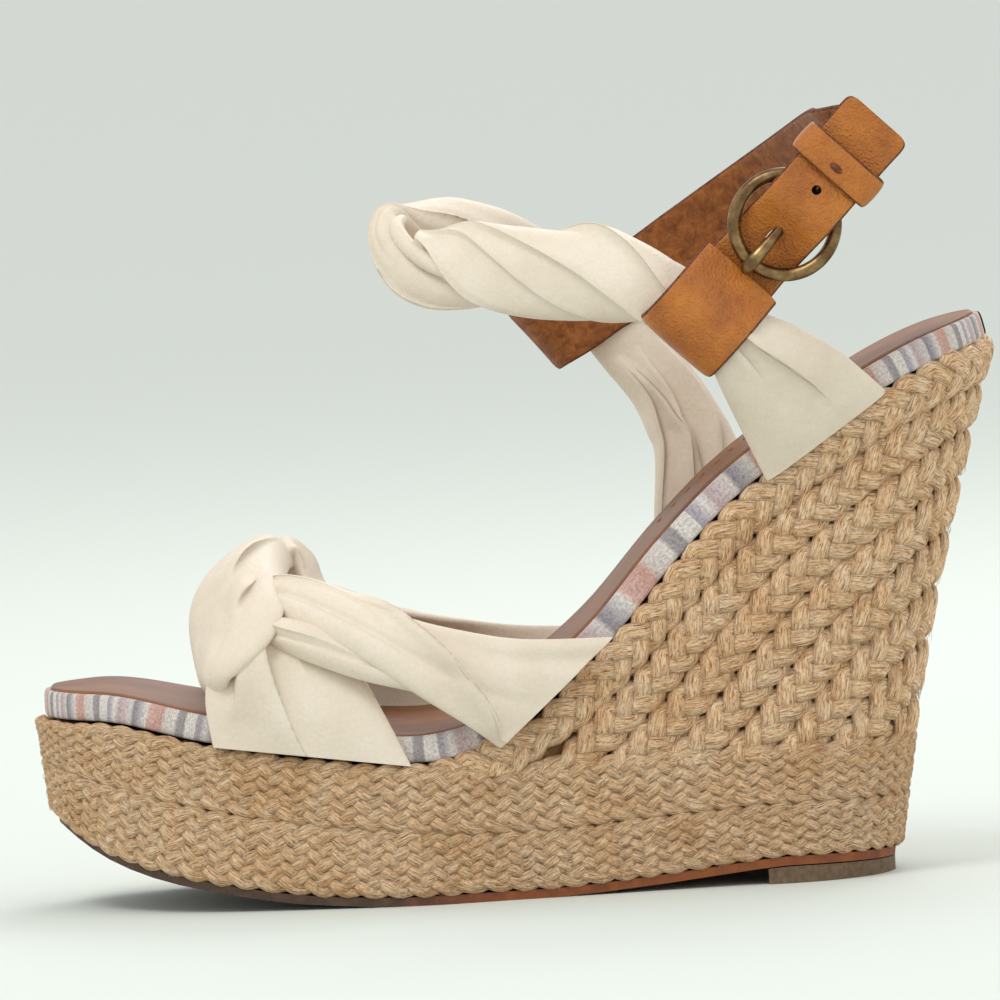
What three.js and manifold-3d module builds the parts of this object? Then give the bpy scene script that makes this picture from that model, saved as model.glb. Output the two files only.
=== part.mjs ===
// A left wedge sandal: jute-covered platform wedge, padded leather footbed, knotted vamp and a
// buckled ankle strap. Millimetres, +Z up, +X from the toe to the heel, -Y the outer side.
import * as THREE from 'three';
import { mergeVertices } from 'three/addons/utils/BufferGeometryUtils.js';
import Module from 'manifold-3d';

const wasm = await Module();
wasm.setup();

// ---- Driving dimensions -------------------------------------------------------------------

const gap = 0.3; // running gap between two pieces that touch on the real shoe

// Overall
const shoeLength = 221; // toe tip to the back of the heel, along the top edge of the jute
const platformHeight = 31.3; // jute top edge above the ground at the ball of the foot
const toeRise = 11.2; // how much higher that edge is at the toe
const heelRise = 87.7; // how much higher that edge is at the heel
const toeSetBack = 5; // how far the toe wall leans in towards the ground
const heelSetBack = 27; // how far the back of the heel leans in towards the ground
const heelHollow = 2.6; // hollow of the heel's back line
const toeRounding = 42; // plan length of the rounded toe
const heelRounding = 30; // plan length of the rounded heel

// Half widths of the jute wall at shares of the shoe's length
const outerHalfWidths = [[0, 36], [0.17, 39.5], [0.27, 42], [0.39, 44], [0.475, 40], [0.57, 36], [0.67, 32], [0.75, 30], [1, 30]];
const innerHalfWidths = [[0, 31], [0.17, 37], [0.27, 41], [0.39, 42], [0.475, 38], [0.57, 33], [0.67, 30.5], [0.75, 29.5], [1, 30]];

// Sole
const outsoleThickness = 2;
const outsoleInset = 1.5; // the outsole's edge inside the jute wall
const toeSpring = 19.5; // outsole underside above the ground at the toe tip
const treadStart = 0.36; // the flat of the tread, as shares of the length
const treadEnd = 0.5;
const liftThickness = 4.1; // heel lift at its front face
const liftLength = 29;

// Jute
const juteThickness = 4;
const glueLine = 1.3; // between the jute and the cork
const rowPitch = 8.7; // from one plaited row to the next
const fullRows = 7; // a last row fills what is left at the back of the heel
const bandTop = 31; // top edge of the two platform bands behind the ball
const bandSeam = 16.6; // seam between the two bands behind the ball

// Footbed
const footbedSeat = 0.6; // footbed above the jute's top edge
const edgeInset = 3; // binding inside the jute wall, so that the straps pass between them
const bindingThickness = 1;
const boardThickness = 2;
const foamThickness = 2.6;
const sockThickness = 1.2;

// Straps
const creamThickness = 2.4;
const tanThickness = 2;
const tanWidth = 16.5;
const strapInset = 0.1; // outer face of the straps inside the jute wall, where they go down
const loopRoom = 0.9; // play round the cream strap inside a tan loop

// Buckle
const ringRadius = 11.3; // to the middle of the wire
const wireRadius = 1.2;
const foldReach = 3; // half height of the leather fold round the ring's wire
const prongWidth = 2.2;
const prongEye = 2.6; // outer radius of the prong's eye
const keeperWidth = 6;
const keeperThickness = 1.4;
const keeperPlace = 18; // along the strap from the ring's centre to the keeper's middle
const billetReach = 29.6; // along the strap from the ring's centre to the billet's end
const strapAngle = THREE.MathUtils.degToRad(46); // climb of the strap through the buckle

// ---- Materials ----------------------------------------------------------------------------

const finish = (color, roughness, metalness = 0) => new THREE.MeshStandardMaterial({ color, roughness, metalness });
const creamLeather = finish('#e3d7be', 0.55);
const tanLeather = finish('#b06a2c', 0.5);
const sockLeather = finish('#8a5a3a', 0.6);
const jute = finish('#c6a578', 0.95);
const cork = finish('#b48a5c', 0.9);
const fibreboard = finish('#a58c68', 0.85);
const foam = finish('#e8e2d2', 0.9);
const stripedCotton = finish('#d9d2cf', 0.9);
const rubber = finish('#6f5340', 0.8);
const antiqueBrass = finish('#75694a', 0.4, 0.9);

// ---- Curves of the shoe -------------------------------------------------------------------

// A smooth height for any x through a few points, never swinging past them.
function curveThrough(points) {
  const slopes = points.map((point, i) => {
    if (i === 0 || i === points.length - 1) return 0;
    const before = (point[1] - points[i - 1][1]) / (point[0] - points[i - 1][0]);
    const after = (points[i + 1][1] - point[1]) / (points[i + 1][0] - point[0]);
    return before * after <= 0 ? 0 : (2 * before * after) / (before + after);
  });
  const ends = [[0, 1], [points.length - 1, points.length - 2]];
  for (const [end, next] of ends) {
    const chord = (points[end][1] - points[next][1]) / (points[end][0] - points[next][0]);
    slopes[end] = 1.5 * chord - 0.5 * slopes[next];
  }
  return (x) => {
    if (x <= points[0][0]) return points[0][1] + (x - points[0][0]) * slopes[0];
    const last = points.length - 1;
    if (x >= points[last][0]) return points[last][1] + (x - points[last][0]) * slopes[last];
    const i = points.findIndex((point) => point[0] > x) - 1;
    const span = points[i + 1][0] - points[i][0];
    const t = (x - points[i][0]) / span;
    const rest = 1 - t;
    return points[i][1] * (1 + 2 * t) * rest * rest + points[i + 1][1] * (3 - 2 * t) * t * t
      + span * (slopes[i] * t * rest * rest - slopes[i + 1] * rest * t * t);
  };
}

// The jute's top edge: shares of the length, the toe rise and the heel rise.
const featherLine = curveThrough([
  [0, 1, 0], [0.063, 1, 0], [0.172, 0.58, 0], [0.28, 0.2, 0], [0.386, 0, 0], [0.474, 0, 0.039],
  [0.537, 0, 0.163], [0.592, 0, 0.284], [0.665, 0, 0.489], [0.7285, 0, 0.64], [0.805, 0, 0.775],
  [0.8814, 0, 0.894], [0.938, 0, 0.957], [1, 0, 1],
].map(([share, toe, heel]) => [share * shoeLength, platformHeight + toe * toeRise + heel * heelRise]));

const featherSlope = (x) => Math.atan(featherLine(x + 0.5) - featherLine(x - 0.5));

// The outsole's underside.
const groundLine = curveThrough([
  [0, toeSpring], [0.05, toeSpring * 0.62], [0.1, toeSpring * 0.4], [0.16, toeSpring * 0.24],
  [0.26, toeSpring * 0.06], [treadStart, 0], [treadEnd, 0], [0.6, liftThickness * 0.28],
  [0.7, liftThickness * 0.75], [0.76, liftThickness], [0.9, liftThickness * 0.8],
].map(([share, height]) => [toeSetBack + share * (shoeLength - toeSetBack), height]));
const juteBottom = (x) => groundLine(x) + outsoleThickness + gap;

const backHeight = platformHeight + heelRise;
function backOfHeel(z) {
  const share = z / backHeight;
  return shoeLength - heelSetBack * (1 - share) - heelHollow * 4 * share * (1 - share);
}
const frontOfToe = (z) => toeSetBack * Math.max(0, 1 - z / (platformHeight + toeRise));

const asLengths = (pairs) => pairs.map(([share, width]) => [share * shoeLength, width]);
const outerHalf = curveThrough(asLengths(outerHalfWidths));
const innerHalf = curveThrough(asLengths(innerHalfWidths));

// A quarter ellipse: 0 at the end of the shoe, 1 from the end of the rounding on.
const rounding = (share) => (share >= 1 ? 1 : Math.sqrt(Math.max(0, 1 - (1 - share) ** 2)));

// Half width of the wall at a place and height, on the outer (-1) or inner (+1) side.
function halfWidth(x, z, side, inset) {
  const wide = (side < 0 ? outerHalf(x) : innerHalf(x)) - inset;
  const toe = rounding((x - frontOfToe(z) - inset) / (toeRounding - inset));
  const heel = rounding((backOfHeel(z) - inset - x) / (heelRounding - inset));
  return wide * toe * heel;
}

// ---- Making solids ------------------------------------------------------------------------

// A closed geometry whose faces point out, with its shared corners merged.
function closed(geometry) {
  geometry.deleteAttribute('normal');
  geometry.deleteAttribute('uv');
  const merged = mergeVertices(geometry, 1e-4);
  const corners = merged.attributes.position;
  const faces = merged.index.array;
  const [a, b, c] = [new THREE.Vector3(), new THREE.Vector3(), new THREE.Vector3()];
  let volume = 0;
  for (let i = 0; i < faces.length; i += 3) {
    a.fromBufferAttribute(corners, faces[i]);
    b.fromBufferAttribute(corners, faces[i + 1]);
    c.fromBufferAttribute(corners, faces[i + 2]);
    volume += a.dot(b.cross(c));
  }
  if (volume < 0) {
    for (let i = 0; i < faces.length; i += 3) [faces[i], faces[i + 1]] = [faces[i + 1], faces[i]];
  }
  merged.computeVertexNormals();
  return merged;
}

// A block whose corners are moved by place(along, across, up), each from 0 to 1.
function block(steps, place) {
  const geometry = new THREE.BoxGeometry(1, 1, 1, ...steps);
  const corners = geometry.attributes.position;
  for (let i = 0; i < corners.count; i++) {
    const moved = place(corners.getX(i) + 0.5, corners.getY(i) + 0.5, corners.getZ(i) + 0.5);
    corners.setXYZ(i, moved.x, moved.y, moved.z);
  }
  return closed(geometry);
}

// A closed ring of square section whose corners are moved by place(turn, up, inward).
function hoop(steps, place) {
  const section = [[1, 0], [1, 1], [2, 1], [2, 0], [1, 0]].map(([x, y]) => new THREE.Vector2(x, y));
  const geometry = new THREE.LatheGeometry(section, steps);
  const corners = geometry.attributes.position;
  const around = geometry.attributes.uv;
  for (let i = 0; i < corners.count; i++) {
    const radius = Math.hypot(corners.getX(i), corners.getZ(i));
    const moved = place(around.getX(i) % 1, corners.getY(i), radius - 1);
    corners.setXYZ(i, moved.x, moved.y, moved.z);
  }
  return closed(geometry);
}

function toSolid(geometry) {
  const vertProperties = new Float32Array(geometry.attributes.position.array);
  const triVerts = new Uint32Array(geometry.index.array);
  return new wasm.Manifold(new wasm.Mesh({ numProp: 3, vertProperties, triVerts }));
}

function fromSolid(solid) {
  const mesh = solid.getMesh();
  const geometry = new THREE.BufferGeometry();
  geometry.setAttribute('position', new THREE.BufferAttribute(mesh.vertProperties, 3));
  geometry.setIndex(new THREE.BufferAttribute(mesh.triVerts, 1));
  geometry.computeVertexNormals();
  return geometry;
}

const cut = (geometry, tool) => fromSolid(toSolid(geometry).subtract(toSolid(tool)));
const joined = (first, second) => fromSolid(toSolid(first).add(toSolid(second)));

const shoe = new THREE.Group();
function add(name, geometry, material, parent = shoe) {
  const mesh = new THREE.Mesh(geometry, material);
  mesh.name = name;
  parent.add(mesh);
}

const mix = THREE.MathUtils.lerp;
const noseTrim = 0.04; // share of the half turn left off at the toe and heel, as a small flat
const easeEnds = (share) => (1 - Math.cos(Math.PI * mix(noseTrim, 1 - noseTrim, share))) / 2;

// ---- Sole ---------------------------------------------------------------------------------

// A plate between two height lines, filling the shoe's outline less an inset.
function plate(bottomLine, topLine, inset, steps) {
  return block(steps, (along, across, up) => {
    const share = easeEnds(along);
    const side = across < 0.5 ? -1 : 1;
    let z = bottomLine(share * shoeLength);
    let x = 0;
    for (let pass = 0; pass < 6; pass++) {
      x = mix(frontOfToe(z) + inset, backOfHeel(z) - inset, share);
      z = mix(bottomLine(x), topLine(x), up);
    }
    const y = (2 * across - 1) * halfWidth(x, z, side, inset);
    return new THREE.Vector3(x, y, z);
  });
}

function makeSole() {
  const outsoleTop = (x) => groundLine(x) + outsoleThickness;
  add('outsole', plate(groundLine, outsoleTop, outsoleInset, [32, 2, 1]), rubber);

  const liftBack = backOfHeel(0) - outsoleInset;
  const lift = block([10, 2, 1], (along, across, up) => {
    const x = liftBack - liftLength * (1 - Math.sin((along * Math.PI) / 2) * 0.995);
    const side = across < 0.5 ? -1 : 1;
    const y = (2 * across - 1) * halfWidth(x, 0, side, outsoleInset);
    return new THREE.Vector3(x, y, up * (groundLine(x) - gap));
  });
  add('heel_lift', lift, rubber);

  const coreInset = juteThickness + glueLine;
  const coreTop = (x) => featherLine(x) - gap;
  add('wedge_core', plate(juteBottom, coreTop, coreInset, [40, 2, 5]), cork);
}

// ---- Jute ---------------------------------------------------------------------------------

const bandMeet = 0.43 * shoeLength; // where the band's top edge leaves the footbed's edge
function bandTopLine(x) {
  return x < bandMeet ? featherLine(x) : Math.min(featherLine(x), bandTop);
}
const bandSeamLine = curveThrough([
  [0, 0.56], [0.17, 0.53], [0.37, 0.5], [0.47, 0.46], [0.62, 0.47], [1, 0.48],
].map(([share, part]) => [share * shoeLength, part]));

// Height on the platform wall, 0 at the jute's bottom edge and 1 at the bands' top edge.
const bandHeight = (x, share) => mix(juteBottom(x), bandTopLine(x), share);

function band(lowShare, highShare) {
  return hoop(60, (turn, up, inward) => {
    const inset = inward * juteThickness;
    const angle = turn * 2 * Math.PI;
    const side = angle < Math.PI ? -1 : 1;
    const share = (1 + Math.cos(angle)) / 2;
    let z = platformHeight / 2;
    let x = 0;
    for (let pass = 0; pass < 6; pass++) {
      x = mix(frontOfToe(z) + inset, backOfHeel(z) - inset, share);
      z = mix(bandHeight(x, lowShare(x)), bandHeight(x, highShare(x)), up);
    }
    return new THREE.Vector3(x, side * halfWidth(x, z, side, inset), z);
  });
}

// The point of row line `line` (0 is the top edge) that lies `reach` along the top edge.
function rowLinePoint(line, reach) {
  const slope = featherSlope(reach);
  const drop = line * rowPitch;
  return { x: reach + drop * Math.sin(slope), z: featherLine(reach) - drop * Math.cos(slope) };
}

function crossing(low, high, above) {
  let [from, to] = [low, high];
  for (let pass = 0; pass < 40; pass++) {
    const middle = (from + to) / 2;
    if (above(middle)) to = middle;
    else from = middle;
  }
  return to;
}

function rowPoint(line, turn, inset) {
  const start = crossing(0.3 * shoeLength, shoeLength, (reach) => {
    const point = rowLinePoint(line, reach);
    return point.z > bandTopLine(point.x) + gap;
  });
  const end = crossing(start, 1.3 * shoeLength, (reach) => {
    const point = rowLinePoint(line, reach);
    return point.x > backOfHeel(point.z) - inset;
  });
  const side = turn < 0 ? -1 : 1;
  const reach = mix(end, start, 1 - Math.cos((turn * Math.PI) / 2));
  const { x, z } = rowLinePoint(line, reach);
  return new THREE.Vector3(x, side * halfWidth(x, z, side, inset), z);
}

function makeJute() {
  const seam = (x) => bandSeamLine(x);
  const seamGap = (x) => bandSeamLine(x) + gap / (platformHeight / 2);
  add('band_lower', band(() => 0, seam), jute);
  add('band_upper', band(seamGap, () => 1), jute);
  for (let row = 1; row <= fullRows; row++) {
    const topLine = row === 1 ? 0 : row - 1 + gap / rowPitch;
    const geometry = block([36, 1, 1], (along, across, up) => {
      return rowPoint(mix(row, topLine, up), 2 * along - 1, across * juteThickness);
    });
    add(`plait_row_${row}`, geometry, jute);
  }
  const endRow = block([16, 1, 1], (along, across, up) => {
    const point = rowPoint(fullRows + gap / rowPitch, mix(-0.9, 0.9, along), across * juteThickness);
    const low = bandTopLine(point.x) + gap;
    const lean = backOfHeel(point.z) - backOfHeel(low);
    return up > 0 ? point : new THREE.Vector3(point.x - lean, point.y, low);
  });
  add(`plait_row_${fullRows + 1}`, endRow, jute);
}

// ---- Footbed ------------------------------------------------------------------------------

// A point `height` above the top edge, square to it; its place on the outline stays the same.
function footbedPoint(share, y, height) {
  const x = share * shoeLength;
  const slope = featherSlope(x);
  return new THREE.Vector3(x - height * Math.sin(slope), y, featherLine(x) + height * Math.cos(slope));
}

function footbedLayer(low, high, inset) {
  return block([36, 2, 1], (along, across, up) => {
    const x = mix(inset, shoeLength - inset, easeEnds(along));
    const side = across < 0.5 ? -1 : 1;
    const y = (2 * across - 1) * halfWidth(x, featherLine(x), side, inset);
    return footbedPoint(x / shoeLength, y, mix(low, high, up));
  });
}

const boardTop = footbedSeat + boardThickness;
const foamTop = boardTop + gap + foamThickness;
const footbedTop = foamTop + gap + sockThickness;

function makeFootbed() {
  const layerInset = edgeInset + bindingThickness + gap;
  add('insole_board', footbedLayer(footbedSeat, boardTop, layerInset), fibreboard);
  add('footbed_foam', footbedLayer(boardTop + gap, foamTop, layerInset), foam);
  add('sock_lining', footbedLayer(foamTop + gap, footbedTop, layerInset), sockLeather);
  const binding = hoop(64, (turn, up, inward) => {
    const inset = edgeInset + inward * bindingThickness;
    const angle = turn * 2 * Math.PI;
    const side = angle < Math.PI ? -1 : 1;
    const x = mix(inset, shoeLength - inset, (1 + Math.cos(angle)) / 2);
    const y = side * halfWidth(x, featherLine(x), side, inset);
    return footbedPoint(x / shoeLength, y, mix(footbedSeat, footbedTop - gap, up));
  });
  add('footbed_binding', binding, stripedCotton);
}

// ---- Straps -------------------------------------------------------------------------------

// A point over the shoe: share of the length, share of the half width, height above the top edge.
function over(share, across, height) {
  const x = share * shoeLength;
  const half = across < 0 ? outerHalf(x) : innerHalf(x);
  return new THREE.Vector3(x, across * half, featherLine(x) + height);
}

// Where a strap goes down beside the footbed, on the outer (-1) or inner (+1) edge.
function edgePoint(share, side, height) {
  const x = share * shoeLength;
  const inset = strapInset + creamThickness / 2;
  const y = side * halfWidth(x, featherLine(x), side, inset);
  return new THREE.Vector3(x, y, featherLine(x) + height);
}

// One cross-section of a strap; its middle stands off the straight by `bow`.
const station = (at, across, width, thickness, bow = new THREE.Vector3()) => (
  { at, across, width, thickness, bow });

// A strap's end stands on the jute between two shares of the footbed's edge, and rises straight
// past the footbed's side before it leans in.
function anchor(from, to, side) {
  return [0, footbedTop + 2].map((rise) => {
    const first = edgePoint(from, side, footbedSeat + rise);
    const last = edgePoint(to, side, footbedSeat + rise);
    const across = last.clone().sub(first);
    const at = first.add(last).multiplyScalar(0.5);
    const bow = edgePoint((from + to) / 2, side, footbedSeat + rise).sub(at);
    return station(at, across, across.length(), creamThickness, bow);
  });
}

// A strap through its stations, thinner towards its two edges.
function strap(stations, steps, extra = 0) {
  const spine = new THREE.CatmullRomCurve3(stations.map((s) => s.at));
  const spread = new THREE.CatmullRomCurve3(
    stations.map((s) => s.across.clone().setLength(s.width + 2 * extra)));
  const gauge = new THREE.CatmullRomCurve3(
    stations.map((s) => new THREE.Vector3(s.thickness + 2 * extra, 0, 0)));
  const bows = new THREE.CatmullRomCurve3(stations.map((s) => s.bow));
  return block([steps, 4, 1], (along, across, up) => {
    const span = spread.getPoint(along);
    const ahead = spine.getPoint(Math.min(1, along + 0.01));
    const behind = spine.getPoint(Math.max(0, along - 0.01));
    const square = ahead.sub(behind).cross(span).normalize();
    const edge = 2 * across - 1;
    const thickness = gauge.getPoint(along).x * (1 - 0.5 * edge * edge);
    return spine.getPoint(along).addScaledVector(span, across - 0.5)
      .addScaledVector(bows.getPoint(along), 1 - edge * edge)
      .addScaledVector(square, (up - 0.5) * thickness);
  });
}

const dir = (x, y, z) => new THREE.Vector3(x, y, z).normalize();

// Two strips of cream leather, each doubled into a bight, hooked through each other.
const outerBight = [
  ...anchor(0.185, 0.38, -1),
  station(over(0.265, -0.86, 17), dir(1, 0.1, 0), 34, 2.6),
  station(over(0.24, -0.55, 26), dir(1, 0.3, 0.1), 20, 4),
  station(over(0.215, -0.2, 29), dir(1, 0.3, 0), 11, 6),
  station(over(0.215, 0.16, 31), dir(1, 0.2, 0), 9, 6),
  station(over(0.25, 0.36, 33), dir(0.2, -1, 0), 9, 6),
  station(over(0.3, 0.16, 32.5), dir(-1, -0.1, -0.2), 9, 6),
  station(over(0.315, -0.24, 30), dir(-1, -0.3, -0.3), 12, 5),
  station(over(0.39, -0.66, 27), dir(-0.8, -0.2, -0.6), 20, 3.4),
  station(over(0.46, -0.9, 20), dir(-0.75, 0, -0.65), 26, 2.8),
  ...anchor(0.59, 0.475, -1).reverse(),
];
const innerBight = [
  ...anchor(0.185, 0.38, 1),
  station(over(0.26, 0.88, 16), dir(1, -0.1, 0), 34, 2.6),
  station(over(0.225, 0.6, 27), dir(1, -0.3, 0.1), 20, 4),
  station(over(0.185, 0.22, 30), dir(1, -0.3, 0.2), 10, 5),
  station(over(0.175, -0.2, 33), dir(0.8, 0.1, 0.6), 12, 5),
  station(over(0.235, -0.42, 39), dir(0.1, 0.8, -0.5), 15, 5),
  station(over(0.3, -0.16, 39.5), dir(-0.7, 0.5, -0.2), 11, 5),
  station(over(0.345, 0.3, 31), dir(-1, 0.3, -0.3), 12, 5),
  station(over(0.4, 0.7, 27), dir(-0.8, 0.2, -0.6), 20, 3.4),
  station(over(0.46, 0.9, 20), dir(-0.75, 0, -0.65), 26, 2.8),
  ...anchor(0.59, 0.475, 1).reverse(),
];

function makeVamp() {
  add('vamp_bight_outer', strap(outerBight, 44), creamLeather);
  const room = strap(outerBight, 44, gap);
  add('vamp_bight_inner', cut(strap(innerBight, 44), room), creamLeather);
}

// ---- Ankle wrap and buckle ----------------------------------------------------------------

const buckleSpot = over(0.784, -1.42, 52.5); // centre of the ring
const alongStrap = dir(Math.cos(strapAngle), 0, Math.sin(strapAngle));
const acrossStrap = dir(-Math.sin(strapAngle), 0, Math.cos(strapAngle));

// The buckle's own frame: x along the strap to its end, z out from the ankle, y across.
const buckleFrame = new THREE.Matrix4().makeBasis(
  alongStrap, acrossStrap.clone().negate(), dir(0, -1, 0)).setPosition(buckleSpot);
const fromBuckle = (x, y, z) => new THREE.Vector3(x, -y, z).applyMatrix4(buckleFrame);

const outerLoop = { x: -27.3, z: -1.5, length: 15.4, height: 9 }; // room for the wrap, in that frame
const innerLoopSpot = over(0.595, 1.08, 68);
const innerLoopAngle = THREE.MathUtils.degToRad(38);
const innerAlong = dir(Math.cos(innerLoopAngle), 0, Math.sin(innerLoopAngle));
const innerAcross = dir(-Math.sin(innerLoopAngle), 0, Math.cos(innerLoopAngle));
const innerLoop = { length: 14, height: 8 };

// One strip of leather from the outer heel edge, through both tan loops, to the inner heel edge.
function ankleStations() {
  const loopWidth = outerLoop.length - 2 * loopRoom;
  const loopDepth = outerLoop.height - 2 * loopRoom;
  const throughOuter = (y) => station(fromBuckle(outerLoop.x, y, outerLoop.z), alongStrap, loopWidth, loopDepth);
  const innerWidth = innerLoop.length - 2 * loopRoom;
  const innerDepth = innerLoop.height - 2 * loopRoom;
  const throughInner = (y) => station(
    innerLoopSpot.clone().addScaledVector(innerAcross, y), innerAlong, innerWidth, innerDepth);
  return [
    ...anchor(0.876, 0.75, -1),
    station(over(0.785, -1.08, 14), dir(-0.83, 0, -0.56), 28, 3),
    station(over(0.755, -1.16, 21), dir(-0.78, 0, -0.62), 21, 5),
    ...[-11, 0, 11].map(throughOuter),
    station(over(0.575, -0.86, 87.5), dir(-0.5, -0.2, -0.8), 15, 9),
    station(over(0.51, -0.42, 102), dir(-0.2, 0.3, -0.9), 16, 9),
    station(over(0.445, -0.16, 112), dir(-0.1, 0.1, -1), 17, 8),
    station(over(0.4, 0.06, 114), dir(0.1, -0.2, -1), 18, 6),
    station(over(0.425, 0.4, 111), dir(0.1, 0, -1), 17, 6),
    station(over(0.475, 0.74, 107), dir(0.3, 0, -0.9), 16, 7),
    station(over(0.527, 0.98, 98), dir(0.7, 0, -0.6), 14, 7),
    ...[11, 0, -11].map(throughInner),
    station(over(0.645, 1.1, 32), dir(0.9, 0, 0.5), 15, 5),
    station(over(0.675, 1.05, 15), dir(0.8, 0, 0.6), 20, 3.4),
    ...anchor(0.63, 0.73, 1).reverse(),
  ];
}

// A ring of leather round the wrap, long in x and high in z, as wide as the strap.
function leatherLoop(loop, width) {
  const outline = new THREE.Shape();
  const outer = [loop.length / 2 + tanThickness, loop.height / 2 + tanThickness];
  outline.absellipse(0, 0, outer[0] + 1.2, outer[1] + 1.2, 0, 2 * Math.PI);
  const hollow = new THREE.Path();
  hollow.absellipse(0, 0, outer[0] - 0.4, outer[1] - 0.4, 0, 2 * Math.PI);
  outline.holes.push(hollow);
  return new THREE.ExtrudeGeometry(outline, { depth: width, bevelEnabled: false, curveSegments: 10 })
    .translate(0, 0, -width / 2);
}

// Turns a shape drawn in the buckle's x and z, and extruded across, into its place on the shoe.
function toBuckle(geometry, x = 0, z = 0) {
  return closed(geometry.rotateX(Math.PI / 2).translate(x, 0, z).applyMatrix4(buckleFrame));
}

const billetPath = [
  [-20.5, -4.6], [-16, -3.6], [-11.3, -3.2], [-7.5, -2.9], [-4, -1.7], [0, 1], [3, 3.6], [6, 4.9],
  [9, 5.1], [12, 4.7], [16, 3.3], [20, 2.7], [billetReach, 2.6],
];
const holeStart = -5.4;
const holeEnd = 4.2;

function slab(path, thickness, width) {
  const middle = new THREE.SplineCurve(path.map(([x, z]) => new THREE.Vector2(x, z)));
  return block([32, 1, 1], (along, across, up) => {
    const point = middle.getPoint(along);
    const ahead = middle.getTangent(along);
    const offset = (up - 0.5) * thickness;
    const place = [point.x - ahead.y * offset, (across - 0.5) * width, point.y + ahead.x * offset];
    return fromBuckle(...place);
  });
}

function prongHole(width, height) {
  const outline = new THREE.Shape();
  const radius = width / 2;
  outline.moveTo(holeStart + radius, -radius);
  outline.lineTo(holeEnd - radius, -radius);
  outline.absarc(holeEnd - radius, 0, radius, -Math.PI / 2, Math.PI / 2);
  outline.lineTo(holeStart + radius, radius);
  outline.absarc(holeStart + radius, 0, radius, Math.PI / 2, 1.5 * Math.PI);
  const peg = new THREE.ExtrudeGeometry(outline, { depth: height, bevelEnabled: false, curveSegments: 6 });
  return closed(peg.translate(0, 0, -height / 2).applyMatrix4(buckleFrame));
}

function makeBilletStrap() {
  const loop = toBuckle(leatherLoop(outerLoop, tanWidth + 2), outerLoop.x, outerLoop.z);
  const billet = slab(billetPath, tanThickness, tanWidth);
  const whole = joined(loop, billet);
  add('billet_strap', cut(whole, prongHole(prongWidth + 1, 16)), tanLeather);
}

// Side outline of the leather folded round the ring's wire, with its tail along the strap.
function foldOutline() {
  const outline = new THREE.Shape();
  const back = ringRadius - 4.6;
  const tail = ringRadius + 3.4;
  const half = tanThickness / 2 + 0.2;
  outline.moveTo(back, foldReach);
  outline.absarc(back, 0, foldReach, Math.PI / 2, 1.5 * Math.PI);
  outline.lineTo(ringRadius, -foldReach);
  outline.lineTo(tail, -half);
  outline.lineTo(tail + 8, -half);
  outline.lineTo(tail + 8, half);
  outline.lineTo(tail, half);
  outline.lineTo(ringRadius, foldReach);
  const tunnel = new THREE.Path();
  const room = wireRadius + 0.5;
  tunnel.absellipse(ringRadius - 2.2, 0, 4.2, room, 0, 2 * Math.PI);
  outline.holes.push(tunnel);
  return outline;
}

function makeBuckleStrap() {
  const fold = new THREE.ExtrudeGeometry(foldOutline(), { depth: tanWidth, bevelEnabled: false, curveSegments: 10 });
  const folded = toBuckle(fold.translate(0, 0, -tanWidth / 2));
  const slot = new THREE.BoxGeometry(11, prongWidth + 1, 12).translate(ringRadius - 2.6, 0, 0);
  const slotted = cut(folded, closed(slot.applyMatrix4(buckleFrame)));

  const loop = leatherLoop(innerLoop, tanWidth + 2);
  const innerFrame = new THREE.Matrix4().makeBasis(innerAlong, innerAcross.clone().negate(), dir(0, -1, 0));
  loop.rotateX(Math.PI / 2).applyMatrix4(innerFrame.setPosition(innerLoopSpot));
  const loopSide = innerLoopSpot.clone().addScaledVector(innerAlong, innerLoop.length / 2 + 2.2);
  const afterLoop = loopSide.clone().addScaledVector(innerAlong, 14);
  const band = strap([
    station(loopSide, innerAcross, tanWidth, tanThickness + 0.4),
    station(afterLoop, innerAcross, tanWidth, tanThickness),
    station(over(0.76, 1.12, 54), innerAcross, tanWidth, tanThickness),
    station(over(0.835, 0.8, 53), acrossStrap, tanWidth, tanThickness),
    station(over(0.872, 0.25, 54), acrossStrap, tanWidth, tanThickness),
    station(over(0.88, -0.35, 54), acrossStrap, tanWidth, tanThickness),
    station(over(0.87, -0.95, 54.5), acrossStrap, tanWidth, tanThickness),
    station(fromBuckle(28.5, 0, -2.6), acrossStrap, tanWidth, tanThickness),
    station(fromBuckle(25.5, 0, -0.1), acrossStrap, tanWidth, tanThickness),
    station(fromBuckle(ringRadius + 8, 0, 0), acrossStrap, tanWidth, tanThickness),
  ], 36);
  add('buckle_strap', joined(joined(closed(loop), band), slotted), tanLeather);
}

function makeKeeper() {
  const low = -tanThickness / 2 - 0.2 - 2 * gap;
  const high = 5;
  const inner = tanWidth / 2 + 0.6;
  const outer = inner + keeperThickness;
  const outline = new THREE.Shape();
  outline.moveTo(-outer, low - keeperThickness);
  outline.lineTo(outer, low - keeperThickness);
  outline.lineTo(outer, high + keeperThickness);
  outline.lineTo(-outer, high + keeperThickness);
  const hollow = new THREE.Path();
  hollow.moveTo(-inner, low);
  hollow.lineTo(inner, low);
  hollow.lineTo(inner, high);
  hollow.lineTo(-inner, high);
  outline.holes.push(hollow);
  const keeper = new THREE.ExtrudeGeometry(outline, { depth: keeperWidth, bevelEnabled: false });
  keeper.translate(0, 0, keeperPlace - keeperWidth / 2);
  const turn = new THREE.Matrix4().makeBasis(dir(0, 1, 0), dir(0, 0, 1), dir(1, 0, 0));
  add('strap_keeper', closed(keeper.applyMatrix4(turn).applyMatrix4(buckleFrame)), tanLeather);
}

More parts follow.
